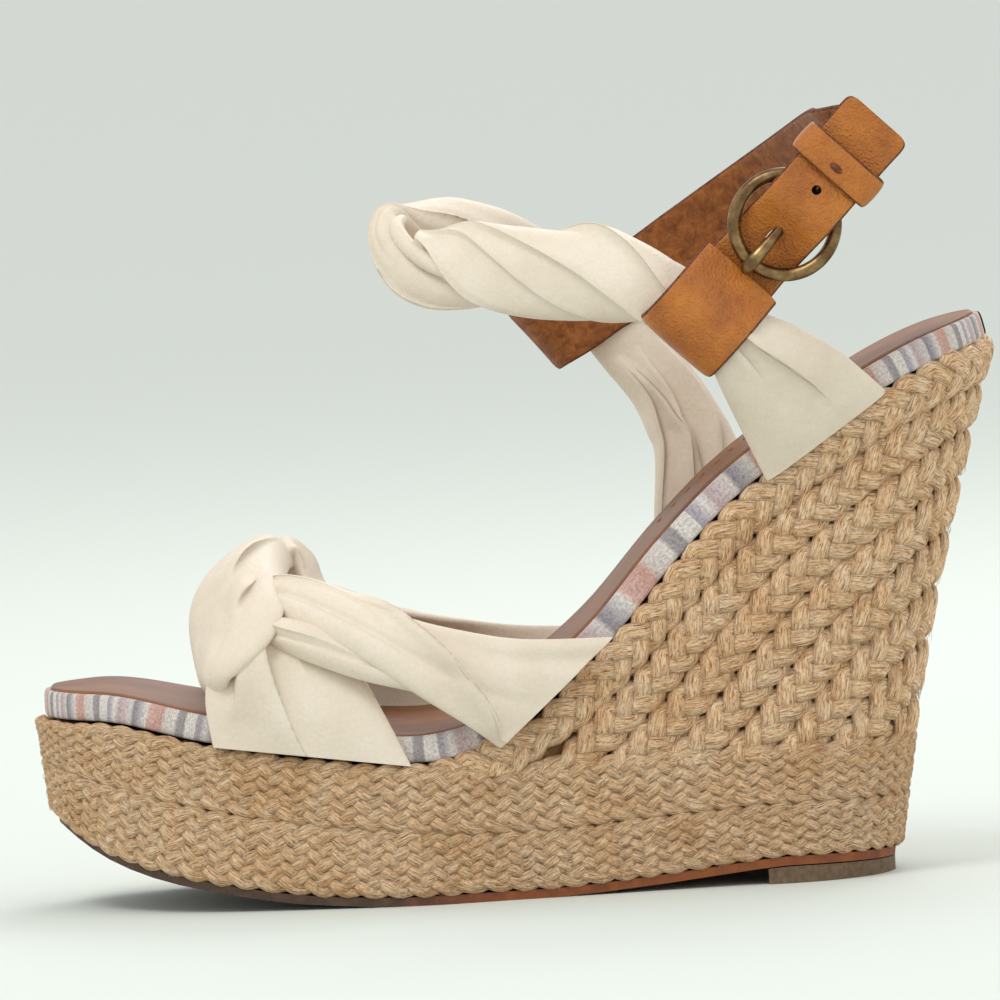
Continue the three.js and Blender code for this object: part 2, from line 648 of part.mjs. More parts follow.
function makeBuckle() {
  const ring = new THREE.TorusGeometry(ringRadius, wireRadius, 8, 32).applyMatrix4(buckleFrame);
  add('buckle_ring', closed(ring), antiqueBrass);

  const outline = new THREE.Shape();
  outline.moveTo(ringRadius - 1.9, 1.7);
  outline.lineTo(0, 1.6);
  outline.lineTo(-5, 2.8);
  outline.lineTo(-9, 3.6);
  outline.lineTo(-ringRadius - 1.2, 3.5);
  outline.lineTo(-ringRadius - 2.2, 2.7);
  outline.lineTo(-ringRadius - 1.9, wireRadius + gap);
  outline.lineTo(-ringRadius + 1.6, wireRadius + gap);
  outline.lineTo(-6, 1);
  outline.lineTo(0, -0.3);
  outline.lineTo(ringRadius - 2.2, -1.2);
  outline.absarc(ringRadius, 0, prongEye, 1.14 * Math.PI, 2.78 * Math.PI);
  const eye = new THREE.Path();
  eye.absarc(ringRadius, 0, wireRadius + gap, 0, 2 * Math.PI);
  outline.holes.push(eye);
  const prong = new THREE.ExtrudeGeometry(outline, { depth: prongWidth, bevelEnabled: false, curveSegments: 14 });
  add('buckle_prong', toBuckle(prong.translate(0, 0, -prongWidth / 2)), antiqueBrass);
}

makeSole();
makeJute();
makeFootbed();
makeVamp();
add('ankle_wrap', strap(ankleStations(), 64), creamLeather);
makeBilletStrap();
makeBuckleStrap();
makeKeeper();
makeBuckle();

// The origin is under the middle of the shoe, on the ground.
const box = new THREE.Box3().setFromObject(shoe, true);
const middle = box.getCenter(new THREE.Vector3());
shoe.position.set(-middle.x, -middle.y, -box.min.z);

export default shoe;
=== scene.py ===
"""The looks of a left wedge sandal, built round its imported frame.

Shapes are worked out in shoe millimetres: x from the toe tip to the heel, y from the outsole's
middle line (minus is the outer side), z up from the ground. place_in_frame() turns them to metres.
"""
import math
import random

import bmesh
import bpy
import numpy as np
from mathutils import Matrix, Vector


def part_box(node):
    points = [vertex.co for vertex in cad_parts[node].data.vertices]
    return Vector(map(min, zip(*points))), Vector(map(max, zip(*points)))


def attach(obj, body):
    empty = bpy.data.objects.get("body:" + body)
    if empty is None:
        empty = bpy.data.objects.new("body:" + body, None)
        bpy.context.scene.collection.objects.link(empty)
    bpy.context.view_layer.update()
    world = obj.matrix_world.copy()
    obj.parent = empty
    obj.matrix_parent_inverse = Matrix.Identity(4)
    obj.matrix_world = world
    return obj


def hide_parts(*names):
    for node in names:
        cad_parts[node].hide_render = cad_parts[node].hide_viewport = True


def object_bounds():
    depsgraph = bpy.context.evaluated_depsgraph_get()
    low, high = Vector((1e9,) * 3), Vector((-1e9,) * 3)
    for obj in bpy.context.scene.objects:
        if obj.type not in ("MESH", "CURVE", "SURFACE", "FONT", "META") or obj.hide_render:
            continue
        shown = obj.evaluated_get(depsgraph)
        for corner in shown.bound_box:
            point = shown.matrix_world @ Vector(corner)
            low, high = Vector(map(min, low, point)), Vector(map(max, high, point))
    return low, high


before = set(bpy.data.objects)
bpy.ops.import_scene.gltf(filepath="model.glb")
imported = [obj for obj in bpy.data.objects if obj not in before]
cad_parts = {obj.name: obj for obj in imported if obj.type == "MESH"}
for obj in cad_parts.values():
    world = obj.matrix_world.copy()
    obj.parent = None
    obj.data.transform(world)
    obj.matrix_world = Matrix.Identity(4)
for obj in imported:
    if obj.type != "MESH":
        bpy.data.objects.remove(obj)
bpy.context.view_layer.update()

# ---- Sizes, in millimetres ----------------------------------------------------------------

SHOE_LENGTH = 221.0
PLATFORM_HEIGHT = 31.3
TOE_RISE = 11.2
HEEL_RISE = 87.7
TOE_SET_BACK = 5.0
HEEL_SET_BACK = 27.0
HEEL_HOLLOW = 2.6
TOE_ROUNDING = 42.0
HEEL_ROUNDING = 30.0
BALL_HALF_WIDTH = 44.0
ROW_PITCH = 8.7
FULL_ROWS = 7
FOOTBED_SEAT = 0.6
FOOTBED_TOP = 7.0
EDGE_INSET = 3.0
TOE_TIP_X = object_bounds()[0].x * 1000
MIDDLE_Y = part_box("band_upper")[0].y * 1000 + BALL_HALF_WIDTH

OUTER_HALF_WIDTHS = [(0, 36), (0.17, 39.5), (0.27, 42), (0.39, 44), (0.475, 40), (0.57, 36),
                     (0.67, 32), (0.75, 30), (1, 30)]
INNER_HALF_WIDTHS = [(0, 31), (0.17, 37), (0.27, 41), (0.39, 42), (0.475, 38), (0.57, 33),
                     (0.67, 30.5), (0.75, 29.5), (1, 30)]
TOP_EDGE = [(0, 1, 0), (0.063, 1, 0), (0.172, 0.58, 0), (0.28, 0.2, 0), (0.386, 0, 0),
            (0.474, 0, 0.039), (0.537, 0, 0.163), (0.592, 0, 0.284), (0.665, 0, 0.489),
            (0.7285, 0, 0.64), (0.805, 0, 0.775), (0.8814, 0, 0.894), (0.938, 0, 0.957), (1, 0, 1)]


# ---- Curves of the shoe -------------------------------------------------------------------

def smooth_through(points):
    """A curve through a few points that never swings past them; takes arrays."""
    x, y = np.array(points, float).T
    chords = np.diff(y) / np.diff(x)
    slopes = np.zeros(len(x))
    for i in range(1, len(x) - 1):
        before, after = chords[i - 1], chords[i]
        slopes[i] = 0 if before * after <= 0 else 2 * before * after / (before + after)
    slopes[0] = 1.5 * chords[0] - 0.5 * slopes[1]
    slopes[-1] = 1.5 * chords[-1] - 0.5 * slopes[-2]

    def at(place):
        place = np.asarray(place, float)
        i = np.clip(np.searchsorted(x, place, side="right") - 1, 0, len(x) - 2)
        span = x[i + 1] - x[i]
        t = np.clip((place - x[i]) / span, 0, 1)
        rest = 1 - t
        value = (y[i] * (1 + 2 * t) * rest ** 2 + y[i + 1] * (3 - 2 * t) * t ** 2
                 + span * (slopes[i] * t * rest ** 2 - slopes[i + 1] * rest * t ** 2))
        value = value + np.minimum(place - x[0], 0) * slopes[0]
        return value + np.maximum(place - x[-1], 0) * slopes[-1]
    return at


top_edge = smooth_through([(share * SHOE_LENGTH, PLATFORM_HEIGHT + toe * TOE_RISE + heel * HEEL_RISE)
                           for share, toe, heel in TOP_EDGE])
outer_half = smooth_through([(share * SHOE_LENGTH, width) for share, width in OUTER_HALF_WIDTHS])
inner_half = smooth_through([(share * SHOE_LENGTH, width) for share, width in INNER_HALF_WIDTHS])
jute_bottom = smooth_through([(5, 21.4), (16, 14), (27, 9.9), (40, 6.8), (61, 3.6), (83, 2.3),
                              (113, 2.3), (134, 3.4), (156, 5.4), (169, 6.4), (199, 5.6)])
band_dip = smooth_through([(60, 36), (84, 31.4), (104, 29.8), (150, 31.4), (200, 31)])
band_seam = smooth_through([(0, 0.55), (38, 0.53), (82, 0.5), (104, 0.47), (137, 0.47), (221, 0.49)])


def top_slope(x):
    return np.arctan(top_edge(x + 0.5) - top_edge(x - 0.5))


def back_of_heel(z):
    share = np.asarray(z, float) / (PLATFORM_HEIGHT + HEEL_RISE)
    return SHOE_LENGTH - HEEL_SET_BACK * (1 - share) - HEEL_HOLLOW * 4 * share * (1 - share)


def front_of_toe(z):
    return TOE_SET_BACK * np.maximum(0, 1 - np.asarray(z, float) / (PLATFORM_HEIGHT + TOE_RISE))


def rounding(share):
    return np.sqrt(np.clip(1 - (1 - np.minimum(share, 1)) ** 2, 0, 1))


def half_width(x, z, side, inset=0.0):
    wide = np.where(side < 0, outer_half(x), inner_half(x)) - inset
    toe = rounding((x - front_of_toe(z) - inset) / (TOE_ROUNDING - inset))
    heel = rounding((back_of_heel(z) - inset - x) / (HEEL_ROUNDING - inset))
    return wide * toe * heel


def band_top(x):
    return np.minimum(top_edge(x), band_dip(x))


# ---- Making meshes ------------------------------------------------------------------------

def place_in_frame(points):
    return (np.asarray(points, float) + (TOE_TIP_X, MIDDLE_Y, 0)) / 1000


def grid(steps_u, steps_v):
    """A bmesh grid, and the u and v of each of its vertices, from 0 to 1."""
    bm = bmesh.new()
    bmesh.ops.create_grid(bm, x_segments=steps_u, y_segments=steps_v, size=0.5, calc_uvs=True)
    bm.loops.layers.uv.verify()
    flat = np.array([vert.co[:2] for vert in bm.verts]) + 0.5
    return bm, flat[:, 0], flat[:, 1]


def shape_grid(bm, points, uv_scale=(1, 1), closed=True):
    """Moves a grid's vertices to their places, in shoe mm, and closes its seam and ends."""
    layer = bm.loops.layers.uv.verify()
    for face in bm.faces:
        for loop in face.loops:
            loop[layer].uv = (loop.vert.co.x + 0.5, loop.vert.co.y + 0.5)
            loop[layer].uv[0] *= uv_scale[0]
            loop[layer].uv[1] *= uv_scale[1]
    for vert, point in zip(bm.verts, place_in_frame(points)):
        vert.co = point
    if closed:
        bmesh.ops.remove_doubles(bm, verts=bm.verts, dist=1e-7)
        bmesh.ops.holes_fill(bm, edges=[e for e in bm.edges if e.is_boundary], sides=0)
        bmesh.ops.recalc_face_normals(bm, faces=bm.faces)


def finish_mesh(name, bm, materials, smooth=True):
    mesh = bpy.data.meshes.new(name)
    bm.to_mesh(mesh)
    bm.free()
    obj = bpy.data.objects.new(name, mesh)
    bpy.context.scene.collection.objects.link(obj)
    for material in materials:
        mesh.materials.append(material)
    mesh.polygons.foreach_set("use_smooth", [smooth] * len(mesh.polygons))
    return obj


def gather(parts):
    """Several bmeshes as one."""
    whole = bmesh.new()
    for part in parts:
        mesh = bpy.data.meshes.new("part")
        part.to_mesh(mesh)
        part.free()
        whole.from_mesh(mesh)
        bpy.data.meshes.remove(mesh)
    return whole


def seat(obj, body, slot, *nodes):
    """Every piece rides on a body and stands for the nodes it replaces; the slot argument is not used."""
    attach(obj, body)
    if nodes:
        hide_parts(*nodes)
    return obj


def unit(vectors):
    return vectors / np.maximum(np.linalg.norm(vectors, axis=-1, keepdims=True), 1e-9)


def along(path):
    steps = np.linalg.norm(np.diff(path, axis=0), axis=1)
    return np.concatenate([[0], np.cumsum(steps)])


def sample(lengths, values, at):
    return np.stack([np.interp(at, lengths, values[:, k]) for k in range(values.shape[1])], axis=-1)


def spline(values, at):
    """A smooth curve through evenly spaced values; at runs from 0 to 1."""
    values = np.asarray(values, float)
    if values.ndim == 1:
        values = values[:, None]
    count = len(values) - 1
    where = np.clip(np.asarray(at, float), 0, 1) * count
    i = np.minimum(where.astype(int), count - 1)
    t = (where - i)[:, None]
    p0, p1 = values[np.maximum(i - 1, 0)], values[i]
    p2, p3 = values[i + 1], values[np.minimum(i + 2, count)]
    bend = 2 * p1 + (p2 - p0) * t + (2 * p0 - 5 * p1 + 4 * p2 - p3) * t ** 2
    return (bend + (3 * p1 - p0 - 3 * p2 + p3) * t ** 3) / 2


# ---- Materials ----------------------------------------------------------------------------

def linear(hex_colour):
    channels = [int(hex_colour[i:i + 2], 16) / 255 for i in (1, 3, 5)]
    return [c / 12.92 if c <= 0.04045 else ((c + 0.055) / 1.055) ** 2.4 for c in channels] + [1]


def add_node(tree, kind, links=(), **settings):
    """One node with its settings; links are (input, output socket) pairs."""
    node = tree.nodes.new(kind)
    inputs = settings.pop("inputs", {})
    for name, value in settings.items():
        setattr(node, name, value)
    for socket, value in inputs.items():
        node.inputs[socket].default_value = value
    for socket, source in links:
        tree.links.new(source, node.inputs[socket])
    return node


def new_material(name, **sockets):
    material = bpy.data.materials.new(name)
    material.use_nodes = True
    tree = material.node_tree
    shader = tree.nodes["Principled BSDF"]
    for socket, value in sockets.items():
        shader.inputs[socket.replace("_", " ")].default_value = value
    return material, tree, shader


def ramp(tree, source, stops, ease="LINEAR"):
    node = add_node(tree, "ShaderNodeValToRGB", [("Fac", source)])
    node.color_ramp.interpolation = ease
    while len(node.color_ramp.elements) < len(stops):
        node.color_ramp.elements.new(0.5)
    for element, (position, colour) in zip(node.color_ramp.elements, stops):
        element.position = position
        element.color = linear(colour)
    return node.outputs["Color"]


def mixed(tree, amount, first, second, blend="MIX"):
    node = add_node(tree, "ShaderNodeMix", data_type="RGBA", blend_type=blend)
    for socket, value in ((0, amount), (6, first), (7, second)):
        if isinstance(value, bpy.types.NodeSocket):
            tree.links.new(value, node.inputs[socket])
        else:
            node.inputs[socket].default_value = value
    return node.outputs[2]


def bump(tree, shader, height, depth_mm, strength=1.0, under=None):
    node = add_node(tree, "ShaderNodeBump", [("Height", height)],
                    inputs={"Distance": depth_mm / 1000, "Strength": strength})
    if under:
        tree.links.new(under.outputs["Normal"], node.inputs["Normal"])
    tree.links.new(node.outputs["Normal"], shader.inputs["Normal"])
    return node


def per_mm(millimetres):
    """Noise scale for a feature of that size, on coordinates in metres."""
    return 1000 / millimetres


def jute_material():
    """Undyed jute: coarse bast fibres, straw to brown, matt, with dark lines between them."""
    material, tree, shader = new_material("jute_fibre", Roughness=0.85, IOR=1.5)
    shader.inputs["Specular IOR Level"].default_value = 0.2
    uv = add_node(tree, "ShaderNodeUVMap").outputs["UV"]
    # Fibres run along u and twist slowly round the strand, about 0.25 mm apart.
    twist = add_node(tree, "ShaderNodeMapping", [("Vector", uv)],
                     inputs={"Rotation": (0, 0, math.radians(12)), "Scale": (1, 12, 1)})
    fibres = add_node(tree, "ShaderNodeTexNoise", [("Vector", twist.outputs["Vector"])],
                      inputs={"Scale": per_mm(3.4), "Detail": 5, "Roughness": 0.7})
    fine = add_node(tree, "ShaderNodeTexNoise", [("Vector", twist.outputs["Vector"])],
                    inputs={"Scale": per_mm(1.3), "Detail": 3, "Roughness": 0.6, "Distortion": 0.4})
    place = add_node(tree, "ShaderNodeTexCoord").outputs["Object"]
    blotch = add_node(tree, "ShaderNodeTexNoise", [("Vector", place)],
                      inputs={"Scale": per_mm(11), "Detail": 3, "Roughness": 0.6})
    fleck = add_node(tree, "ShaderNodeTexNoise", [("Vector", place)],
                     inputs={"Scale": per_mm(1.6), "Detail": 3, "Roughness": 0.6})
    colour = ramp(tree, fibres.outputs["Fac"],
                  [(0.34, "#8A5F3C"), (0.43, "#DBB48C"), (0.54, "#F8DCB8"), (0.66, "#FFF6E4")])
    lines = ramp(tree, fine.outputs["Fac"], [(0.36, "#64422A"), (0.43, "#FFF6EC"), (0.7, "#FFFFFF")])
    tint = ramp(tree, blotch.outputs["Fac"], [(0.32, "#F0E0CB"), (0.5, "#FEF8F0"), (0.7, "#FFFFFF")])
    red = ramp(tree, fleck.outputs["Fac"], [(0.62, "#000000"), (0.70, "#707070")])
    base = mixed(tree, 0.8, mixed(tree, 0.75, colour, lines, "MULTIPLY"), tint, "MULTIPLY")
    tree.links.new(mixed(tree, red, base, linear("#B06A42")), shader.inputs["Base Color"])
    first = bump(tree, shader, fibres.outputs["Fac"], 0.7, 1.0)
    bump(tree, shader, fine.outputs["Fac"], 0.3, 0.8, under=first)
    return material


def leather_material(name, colours, grain_mm, depth_mm, roughness, crease_mm, coat=0.0, crackle=0.0):
    """Leather: pebbled grain, soft mottling of the dye, fine creases where it bends, and painted shade in its
    hollows.
    """
    material, tree, shader = new_material(name, Roughness=roughness, IOR=1.5)
    shader.inputs["Coat Weight"].default_value = coat
    shader.inputs["Coat Roughness"].default_value = 0.35
    place = add_node(tree, "ShaderNodeTexCoord").outputs["Object"]
    mottle = add_node(tree, "ShaderNodeTexNoise", [("Vector", place)],
                      inputs={"Scale": per_mm(crease_mm), "Detail": 5, "Roughness": 0.62})
    grain = add_node(tree, "ShaderNodeTexVoronoi", [("Vector", place)], feature="SMOOTH_F1",
                     inputs={"Scale": per_mm(grain_mm), "Smoothness": 0.7})
    wrinkles = add_node(tree, "ShaderNodeTexNoise", [("Vector", place)],
                        inputs={"Scale": per_mm(grain_mm * 3), "Detail": 6, "Roughness": 0.7,
                                "Distortion": 0.6})
    colour = ramp(tree, mottle.outputs["Fac"], [(0.3, colours[0]), (0.5, colours[1]), (0.72, colours[2])])
    bent = add_node(tree, "ShaderNodeTexNoise", [("Vector", place)], inputs={"Scale": per_mm(5), "Detail": 3})
    shifted = add_node(tree, "ShaderNodeVectorMath", [(0, bent.outputs["Color"]), (2, place)],
                       operation="MULTIPLY_ADD", inputs={1: (0.005, 0.005, 0.005)})
    cracks = add_node(tree, "ShaderNodeTexVoronoi", [("Vector", shifted.outputs[0])],
                      feature="DISTANCE_TO_EDGE", inputs={"Scale": per_mm(grain_mm * 2)})
    lines = ramp(tree, cracks.outputs["Distance"], [(0.0, "#FFFFFF"), (0.12, "#000000")])
    cracked = mixed(tree, crackle, linear("#000000"), lines)
    # Painted shade: concave places (low pointiness) are darkened towards the fifth colour, standing in for
    # shade in creases and hollows.
    painted_shade_mask = add_node(tree, "ShaderNodeNewGeometry").outputs["Pointiness"]
    painted_hollow_shade = ramp(tree, painted_shade_mask, [(0.4, colours[4]), (0.485, "#FFFFFF")])
    base = mixed(tree, cracked, colour, linear(colours[3]))
    tree.links.new(mixed(tree, 0.6, base, painted_hollow_shade, "MULTIPLY"), shader.inputs["Base Color"])
    first = bump(tree, shader, wrinkles.outputs["Fac"], depth_mm * 2.2, 0.5)
    second = bump(tree, shader, cracks.outputs["Distance"], depth_mm * 0.8, 0.6, under=first)
    bump(tree, shader, grain.outputs["Distance"], depth_mm, 0.5, under=second)
    return material


def flesh_material():
    """The uncoated flesh side of the tan leather: darker, brushed and matt."""
    material, tree, shader = new_material("tan_leather_flesh_side", Roughness=0.85)
    shader.inputs["Sheen Weight"].default_value = 0.15
    place = add_node(tree, "ShaderNodeTexCoord").outputs["Object"]
    nap = add_node(tree, "ShaderNodeTexNoise", [("Vector", place)],
                   inputs={"Scale": per_mm(2.4), "Detail": 6, "Roughness": 0.7, "Distortion": 0.5})
    colour = ramp(tree, nap.outputs["Fac"], [(0.32, "#66350F"), (0.5, "#8A4E1C"), (0.7, "#A8692F")])
    tree.links.new(colour, shader.inputs["Base Color"])
    bump(tree, shader, nap.outputs["Fac"], 0.35)
    return material


def cut_edge_material():
    """Raw cut edge of tan leather: dark, fibrous and matt."""
    material, tree, shader = new_material("cut_leather_edge", Roughness=0.85)
    place = add_node(tree, "ShaderNodeTexCoord").outputs["Object"]
    fibres = add_node(tree, "ShaderNodeTexNoise", [("Vector", place)],
                      inputs={"Scale": per_mm(0.9), "Detail": 4})
    colour = ramp(tree, fibres.outputs["Fac"], [(0.35, "#42200E"), (0.65, "#7E4724")])
    tree.links.new(colour, shader.inputs["Base Color"])
    bump(tree, shader, fibres.outputs["Fac"], 0.3)
    return material


def cotton_material():
    """Striped shirting cotton: plain weave, yarn-dyed stripes across the binding."""
    material, tree, shader = new_material("striped_cotton", Roughness=0.9)
    uv = add_node(tree, "ShaderNodeUVMap").outputs["UV"]
    lengthwise = add_node(tree, "ShaderNodeSeparateXYZ", [("Vector", uv)]).outputs["X"]
    repeat = add_node(tree, "ShaderNodeMath", [(0, lengthwise)], operation="MULTIPLY", inputs={1: 1 / 0.026})
    stripe = add_node(tree, "ShaderNodeMath", [(0, repeat.outputs[0])], operation="FRACT")
    colour = ramp(tree, stripe.outputs[0],
                  [(0.0, "#E9E4DF"), (0.10, "#E9E4DF"), (0.12, "#A5A0A2"), (0.19, "#ADA8AA"),
                   (0.21, "#E6E1DC"), (0.33, "#DDD2CC"), (0.36, "#D3A79C"), (0.5, "#DDB8AE"),
                   (0.53, "#EAE5E0"), (0.62, "#B4AEB4"), (0.68, "#98939A"), (0.71, "#E2DBD8"),
                   (0.84, "#C9B3B6"), (0.9, "#EDE8E4"), (0.96, "#B8B2BC")])
    weave = add_node(tree, "ShaderNodeTexNoise", [("Vector", uv)],
                     inputs={"Scale": per_mm(0.45), "Detail": 2})
    slub = ramp(tree, weave.outputs["Fac"], [(0.3, "#9C9693"), (0.62, "#EDE8E6")])
    tree.links.new(mixed(tree, 0.7, colour, slub, "MULTIPLY"), shader.inputs["Base Color"])
    bump(tree, shader, weave.outputs["Fac"], 0.15)
    return material


def brass_material():
    """Antiqued brass: brown patina, mottled at random with warmer, brighter metal."""
    material, tree, shader = new_material("antique_brass", Metallic=1.0, Roughness=0.36)
    place = add_node(tree, "ShaderNodeTexCoord").outputs["Object"]
    patina = add_node(tree, "ShaderNodeTexNoise", [("Vector", place)],
                      inputs={"Scale": per_mm(5), "Detail": 5, "Roughness": 0.65})
    colour = ramp(tree, patina.outputs["Fac"],
                  [(0.3, "#4E3826"), (0.5, "#7D6444"), (0.72, "#AE9264")])
    tree.links.new(colour, shader.inputs["Base Color"])
    scratches = add_node(tree, "ShaderNodeTexNoise", [("Vector", place)],
                         inputs={"Scale": per_mm(0.8), "Detail": 3})
    bump(tree, shader, scratches.outputs["Fac"], 0.05, 0.4)
    return material


def sole_material():
    """Brown sole crepe with a burnished, orange-brown edge under the waist."""
    material, tree, shader = new_material("brown_rubber_sole", Roughness=0.62)
    place = add_node(tree, "ShaderNodeTexCoord").outputs["Object"]
    lengthwise = add_node(tree, "ShaderNodeSeparateXYZ", [("Vector", place)]).outputs["X"]
    waist = add_node(tree, "ShaderNodeMapRange", [("Value", lengthwise)],
                     inputs={"From Min": -0.035, "From Max": -0.005})
    scuff = add_node(tree, "ShaderNodeTexNoise", [("Vector", place)],
                     inputs={"Scale": per_mm(4), "Detail": 6, "Roughness": 0.7})
    dark = ramp(tree, scuff.outputs["Fac"], [(0.3, "#35251A"), (0.7, "#5C4230")])
    warm = ramp(tree, scuff.outputs["Fac"], [(0.3, "#6E3614"), (0.7, "#98521F")])
    tree.links.new(mixed(tree, waist.outputs[0], dark, warm), shader.inputs["Base Color"])
    bump(tree, shader, scuff.outputs["Fac"], 0.2)
    return material


def lift_material():
    """Grey-brown moulded rubber top piece."""
    material, tree, shader = new_material("rubber_top_piece", Roughness=0.75)
    place = add_node(tree, "ShaderNodeTexCoord").outputs["Object"]
    grit = add_node(tree, "ShaderNodeTexNoise", [("Vector", place)],
                    inputs={"Scale": per_mm(1.2), "Detail": 5, "Roughness": 0.7})
    colour = ramp(tree, grit.outputs["Fac"], [(0.3, "#55422F"), (0.7, "#7C644C")])
    tree.links.new(colour, shader.inputs["Base Color"])
    bump(tree, shader, grit.outputs["Fac"], 0.25)
    return material


def cork_material():
    """Agglomerated cork: granules of several browns pressed together."""
    material, tree, shader = new_material("agglomerated_cork", Roughness=0.9)
    place = add_node(tree, "ShaderNodeTexCoord").outputs["Object"]
    granules = add_node(tree, "ShaderNodeTexVoronoi", [("Vector", place)],
                        inputs={"Scale": per_mm(2.5)})
    value = add_node(tree, "ShaderNodeSeparateColor", [("Color", granules.outputs["Color"])])
    colour = ramp(tree, value.outputs[0], [(0, "#7A5630"), (0.6, "#A07A4C"), (1, "#BC9664")])
    tree.links.new(colour, shader.inputs["Base Color"])
    bump(tree, shader, granules.outputs["Distance"], 0.4)
    return material


def plain_noise_material(name, low, high, size_mm, roughness):
    """Hidden fibreboard and foam: their own colours, lightly speckled."""
    material, tree, shader = new_material(name, Roughness=roughness)
    place = add_node(tree, "ShaderNodeTexCoord").outputs["Object"]
    speckle = add_node(tree, "ShaderNodeTexNoise", [("Vector", place)],
                       inputs={"Scale": per_mm(size_mm), "Detail": 4})
    colour = ramp(tree, speckle.outputs["Fac"], [(0.35, low), (0.65, high)])
    tree.links.new(colour, shader.inputs["Base Color"])
    bump(tree, shader, speckle.outputs["Fac"], 0.1)
    return material


def thread_material():
    """Waxed linen thread."""
    material, tree, shader = new_material("waxed_thread", Roughness=0.6)
    place = add_node(tree, "ShaderNodeTexCoord").outputs["Object"]
    ply = add_node(tree, "ShaderNodeTexNoise", [("Vector", place)], inputs={"Scale": per_mm(0.6)})
    colour = ramp(tree, ply.outputs["Fac"], [(0.3, "#8A5A34"), (0.7, "#C08A58")])
    tree.links.new(colour, shader.inputs["Base Color"])
    return material


jute = jute_material()
# The fifth colour of each leather is painted shade, laid into its hollows and creases.
cream_leather = leather_material("cream_nappa_leather",
                                 ("#D5C6B2", "#DFD2BF", "#E7DCCB", "#C4B49C", "#A0866A"),
                                 0.9, 0.13, 0.52, 26, crackle=0.12)
tan_leather = leather_material("tan_waxed_leather", ("#9A5210", "#B26513", "#C2761F", "#C98A45", "#7A3E12"),
                               0.55, 0.5, 0.42, 10, coat=0.1, crackle=0.1)
sock_leather = leather_material("brown_sock_leather", ("#552F12", "#7A4820", "#8C5A2E", "#4A2C14", "#6A4020"),
                                1.1, 0.1, 0.5, 24, crackle=0.15)
cut_edge = cut_edge_material()
flesh_side = flesh_material()
striped_cotton = cotton_material()
antique_brass = brass_material()
thread = thread_material()

for node, material in {
        "outsole": sole_material(), "heel_lift": lift_material(), "wedge_core": cork_material(),
        "insole_board": plain_noise_material("cellulose_board", "#8C7350", "#B39A74", 1.5, 0.85),
        "footbed_foam": plain_noise_material("latex_foam", "#DCD3BE", "#EFE8D8", 0.8, 0.9)}.items():
    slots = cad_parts[node].data.materials
    slots.clear()
    slots.append(material)


# ---- Jute plaits --------------------------------------------------------------------------

class Ribbon:
    """A route over the wall: its middle line, its width direction and its outward direction."""

    def __init__(self, low, high, outer, inner, width):
        middle = (low + high) / 2
        self.lengths = along(middle)
        self.length = self.lengths[-1]
        ahead = unit(np.gradient(middle, axis=0))
        rise = high - low
        rise = rise - ahead * np.sum(rise * ahead, axis=1, keepdims=True)
        outward = unit(np.cross(ahead, rise))
        outward *= np.sign(np.sum(outward * (outer - inner), axis=1, keepdims=True))
        self.middle, self.up, self.outward = middle, rise / width, outward
        self.width = width

    def place(self, s, across, out):
        s = np.clip(s, 0, self.length)
        middle = sample(self.lengths, self.middle, s)
        up = sample(self.lengths, self.up, s)
        outward = sample(self.lengths, self.outward, s)
        return middle + up * across[:, None] + outward * out[:, None]


def strand_route(number, strands, phase, half_reach, lift):
    """Across and height of one strand of a flat plait, at its phase in periods."""
    phase = phase + number / strands
    swing = np.arcsin(0.985 * np.sin(2 * np.pi * phase - np.pi / 2)) / np.arcsin(0.985)
    crossings = 2 * strands * phase
    passes = np.floor(crossings / strands)
    within = crossings - passes * strands
    count = np.interp(within, [0, 1, strands - 1, strands], [0.5, 1, strands - 1, strands - 0.5])
    weave = -np.cos(np.pi * (count + passes * (strands - 1)))
    return half_reach * swing, lift * np.clip(1.25 * weave, -1, 1)


def plait(ribbon, strands, period, half_reach, strand_width, strand_height, lift, seed,
          forward=True, ring=False, depth=0.0, dip=0.0):
    """A flat plait along a ribbon, as one bmesh."""
    rng = np.random.default_rng(seed)
    if ring:
        period = ribbon.length / round(ribbon.length / period)
    rings = int(ribbon.length / period * strands * 6)
    sides = 10
    parts = []
    for number in range(strands):
        bm, u, v = grid(rings, sides)
        s_line = np.linspace(0, ribbon.length, rings + 1)
        phase = s_line / period * (1 if forward else -1)
        across, height = strand_route(number, strands, phase, half_reach, lift)
        knots = rng.normal(0, 1, rings // 5 if ring else rings // 5 + 1)
        if ring:
            knots = np.append(knots, knots[0])
        lumps = np.interp(np.linspace(0, 1, rings + 1), np.linspace(0, 1, rings // 5 + 1), knots)
        across = across + 0.12 * lumps
        slope = np.gradient(across, s_line)
        side_s, side_a = -slope / np.hypot(1, slope), 1 / np.hypot(1, slope)
        fat = 1 + 0.07 * np.roll(lumps, 3)
        index = np.clip(np.rint(u * rings).astype(int), 0, rings)
        turn = 2 * np.pi * v
        wide = strand_width / 2 * fat[index] * np.sign(np.cos(turn)) * np.abs(np.cos(turn)) ** 0.85
        tall = strand_height / 2 * fat[index] * np.sin(turn)
        reach = across[index] + wide * side_a[index]
        dive = dip * (np.abs(reach) / (half_reach + strand_width / 2)) ** 4
        points = ribbon.place(s_line[index] + wide * side_s[index], reach,
                              height[index] + tall + depth - dive)
        strand_length = ribbon.length * math.hypot(1, 4 * half_reach / period)
        shape_grid(bm, points, (strand_length / 1000, 0.009))
        layer = bm.loops.layers.uv.verify()
        for face in bm.faces:
            for loop in face.loops:
                loop[layer].uv[0] += 0.37 * (number + strands * seed)
        parts.append(bm)
    return gather(parts)


def row_line(line, reach):
    slope = top_slope(reach)
    drop = line * ROW_PITCH
    return reach + drop * np.sin(slope), top_edge(reach) - drop * np.cos(slope)


def first_true(low, high, test):
    for _ in range(40):
        middle = (low + high) / 2
        low, high = (low, middle) if test(middle) else (middle, high)
    return high


HIDDEN_START = 24.0  # rows start this low, behind the platform's bands


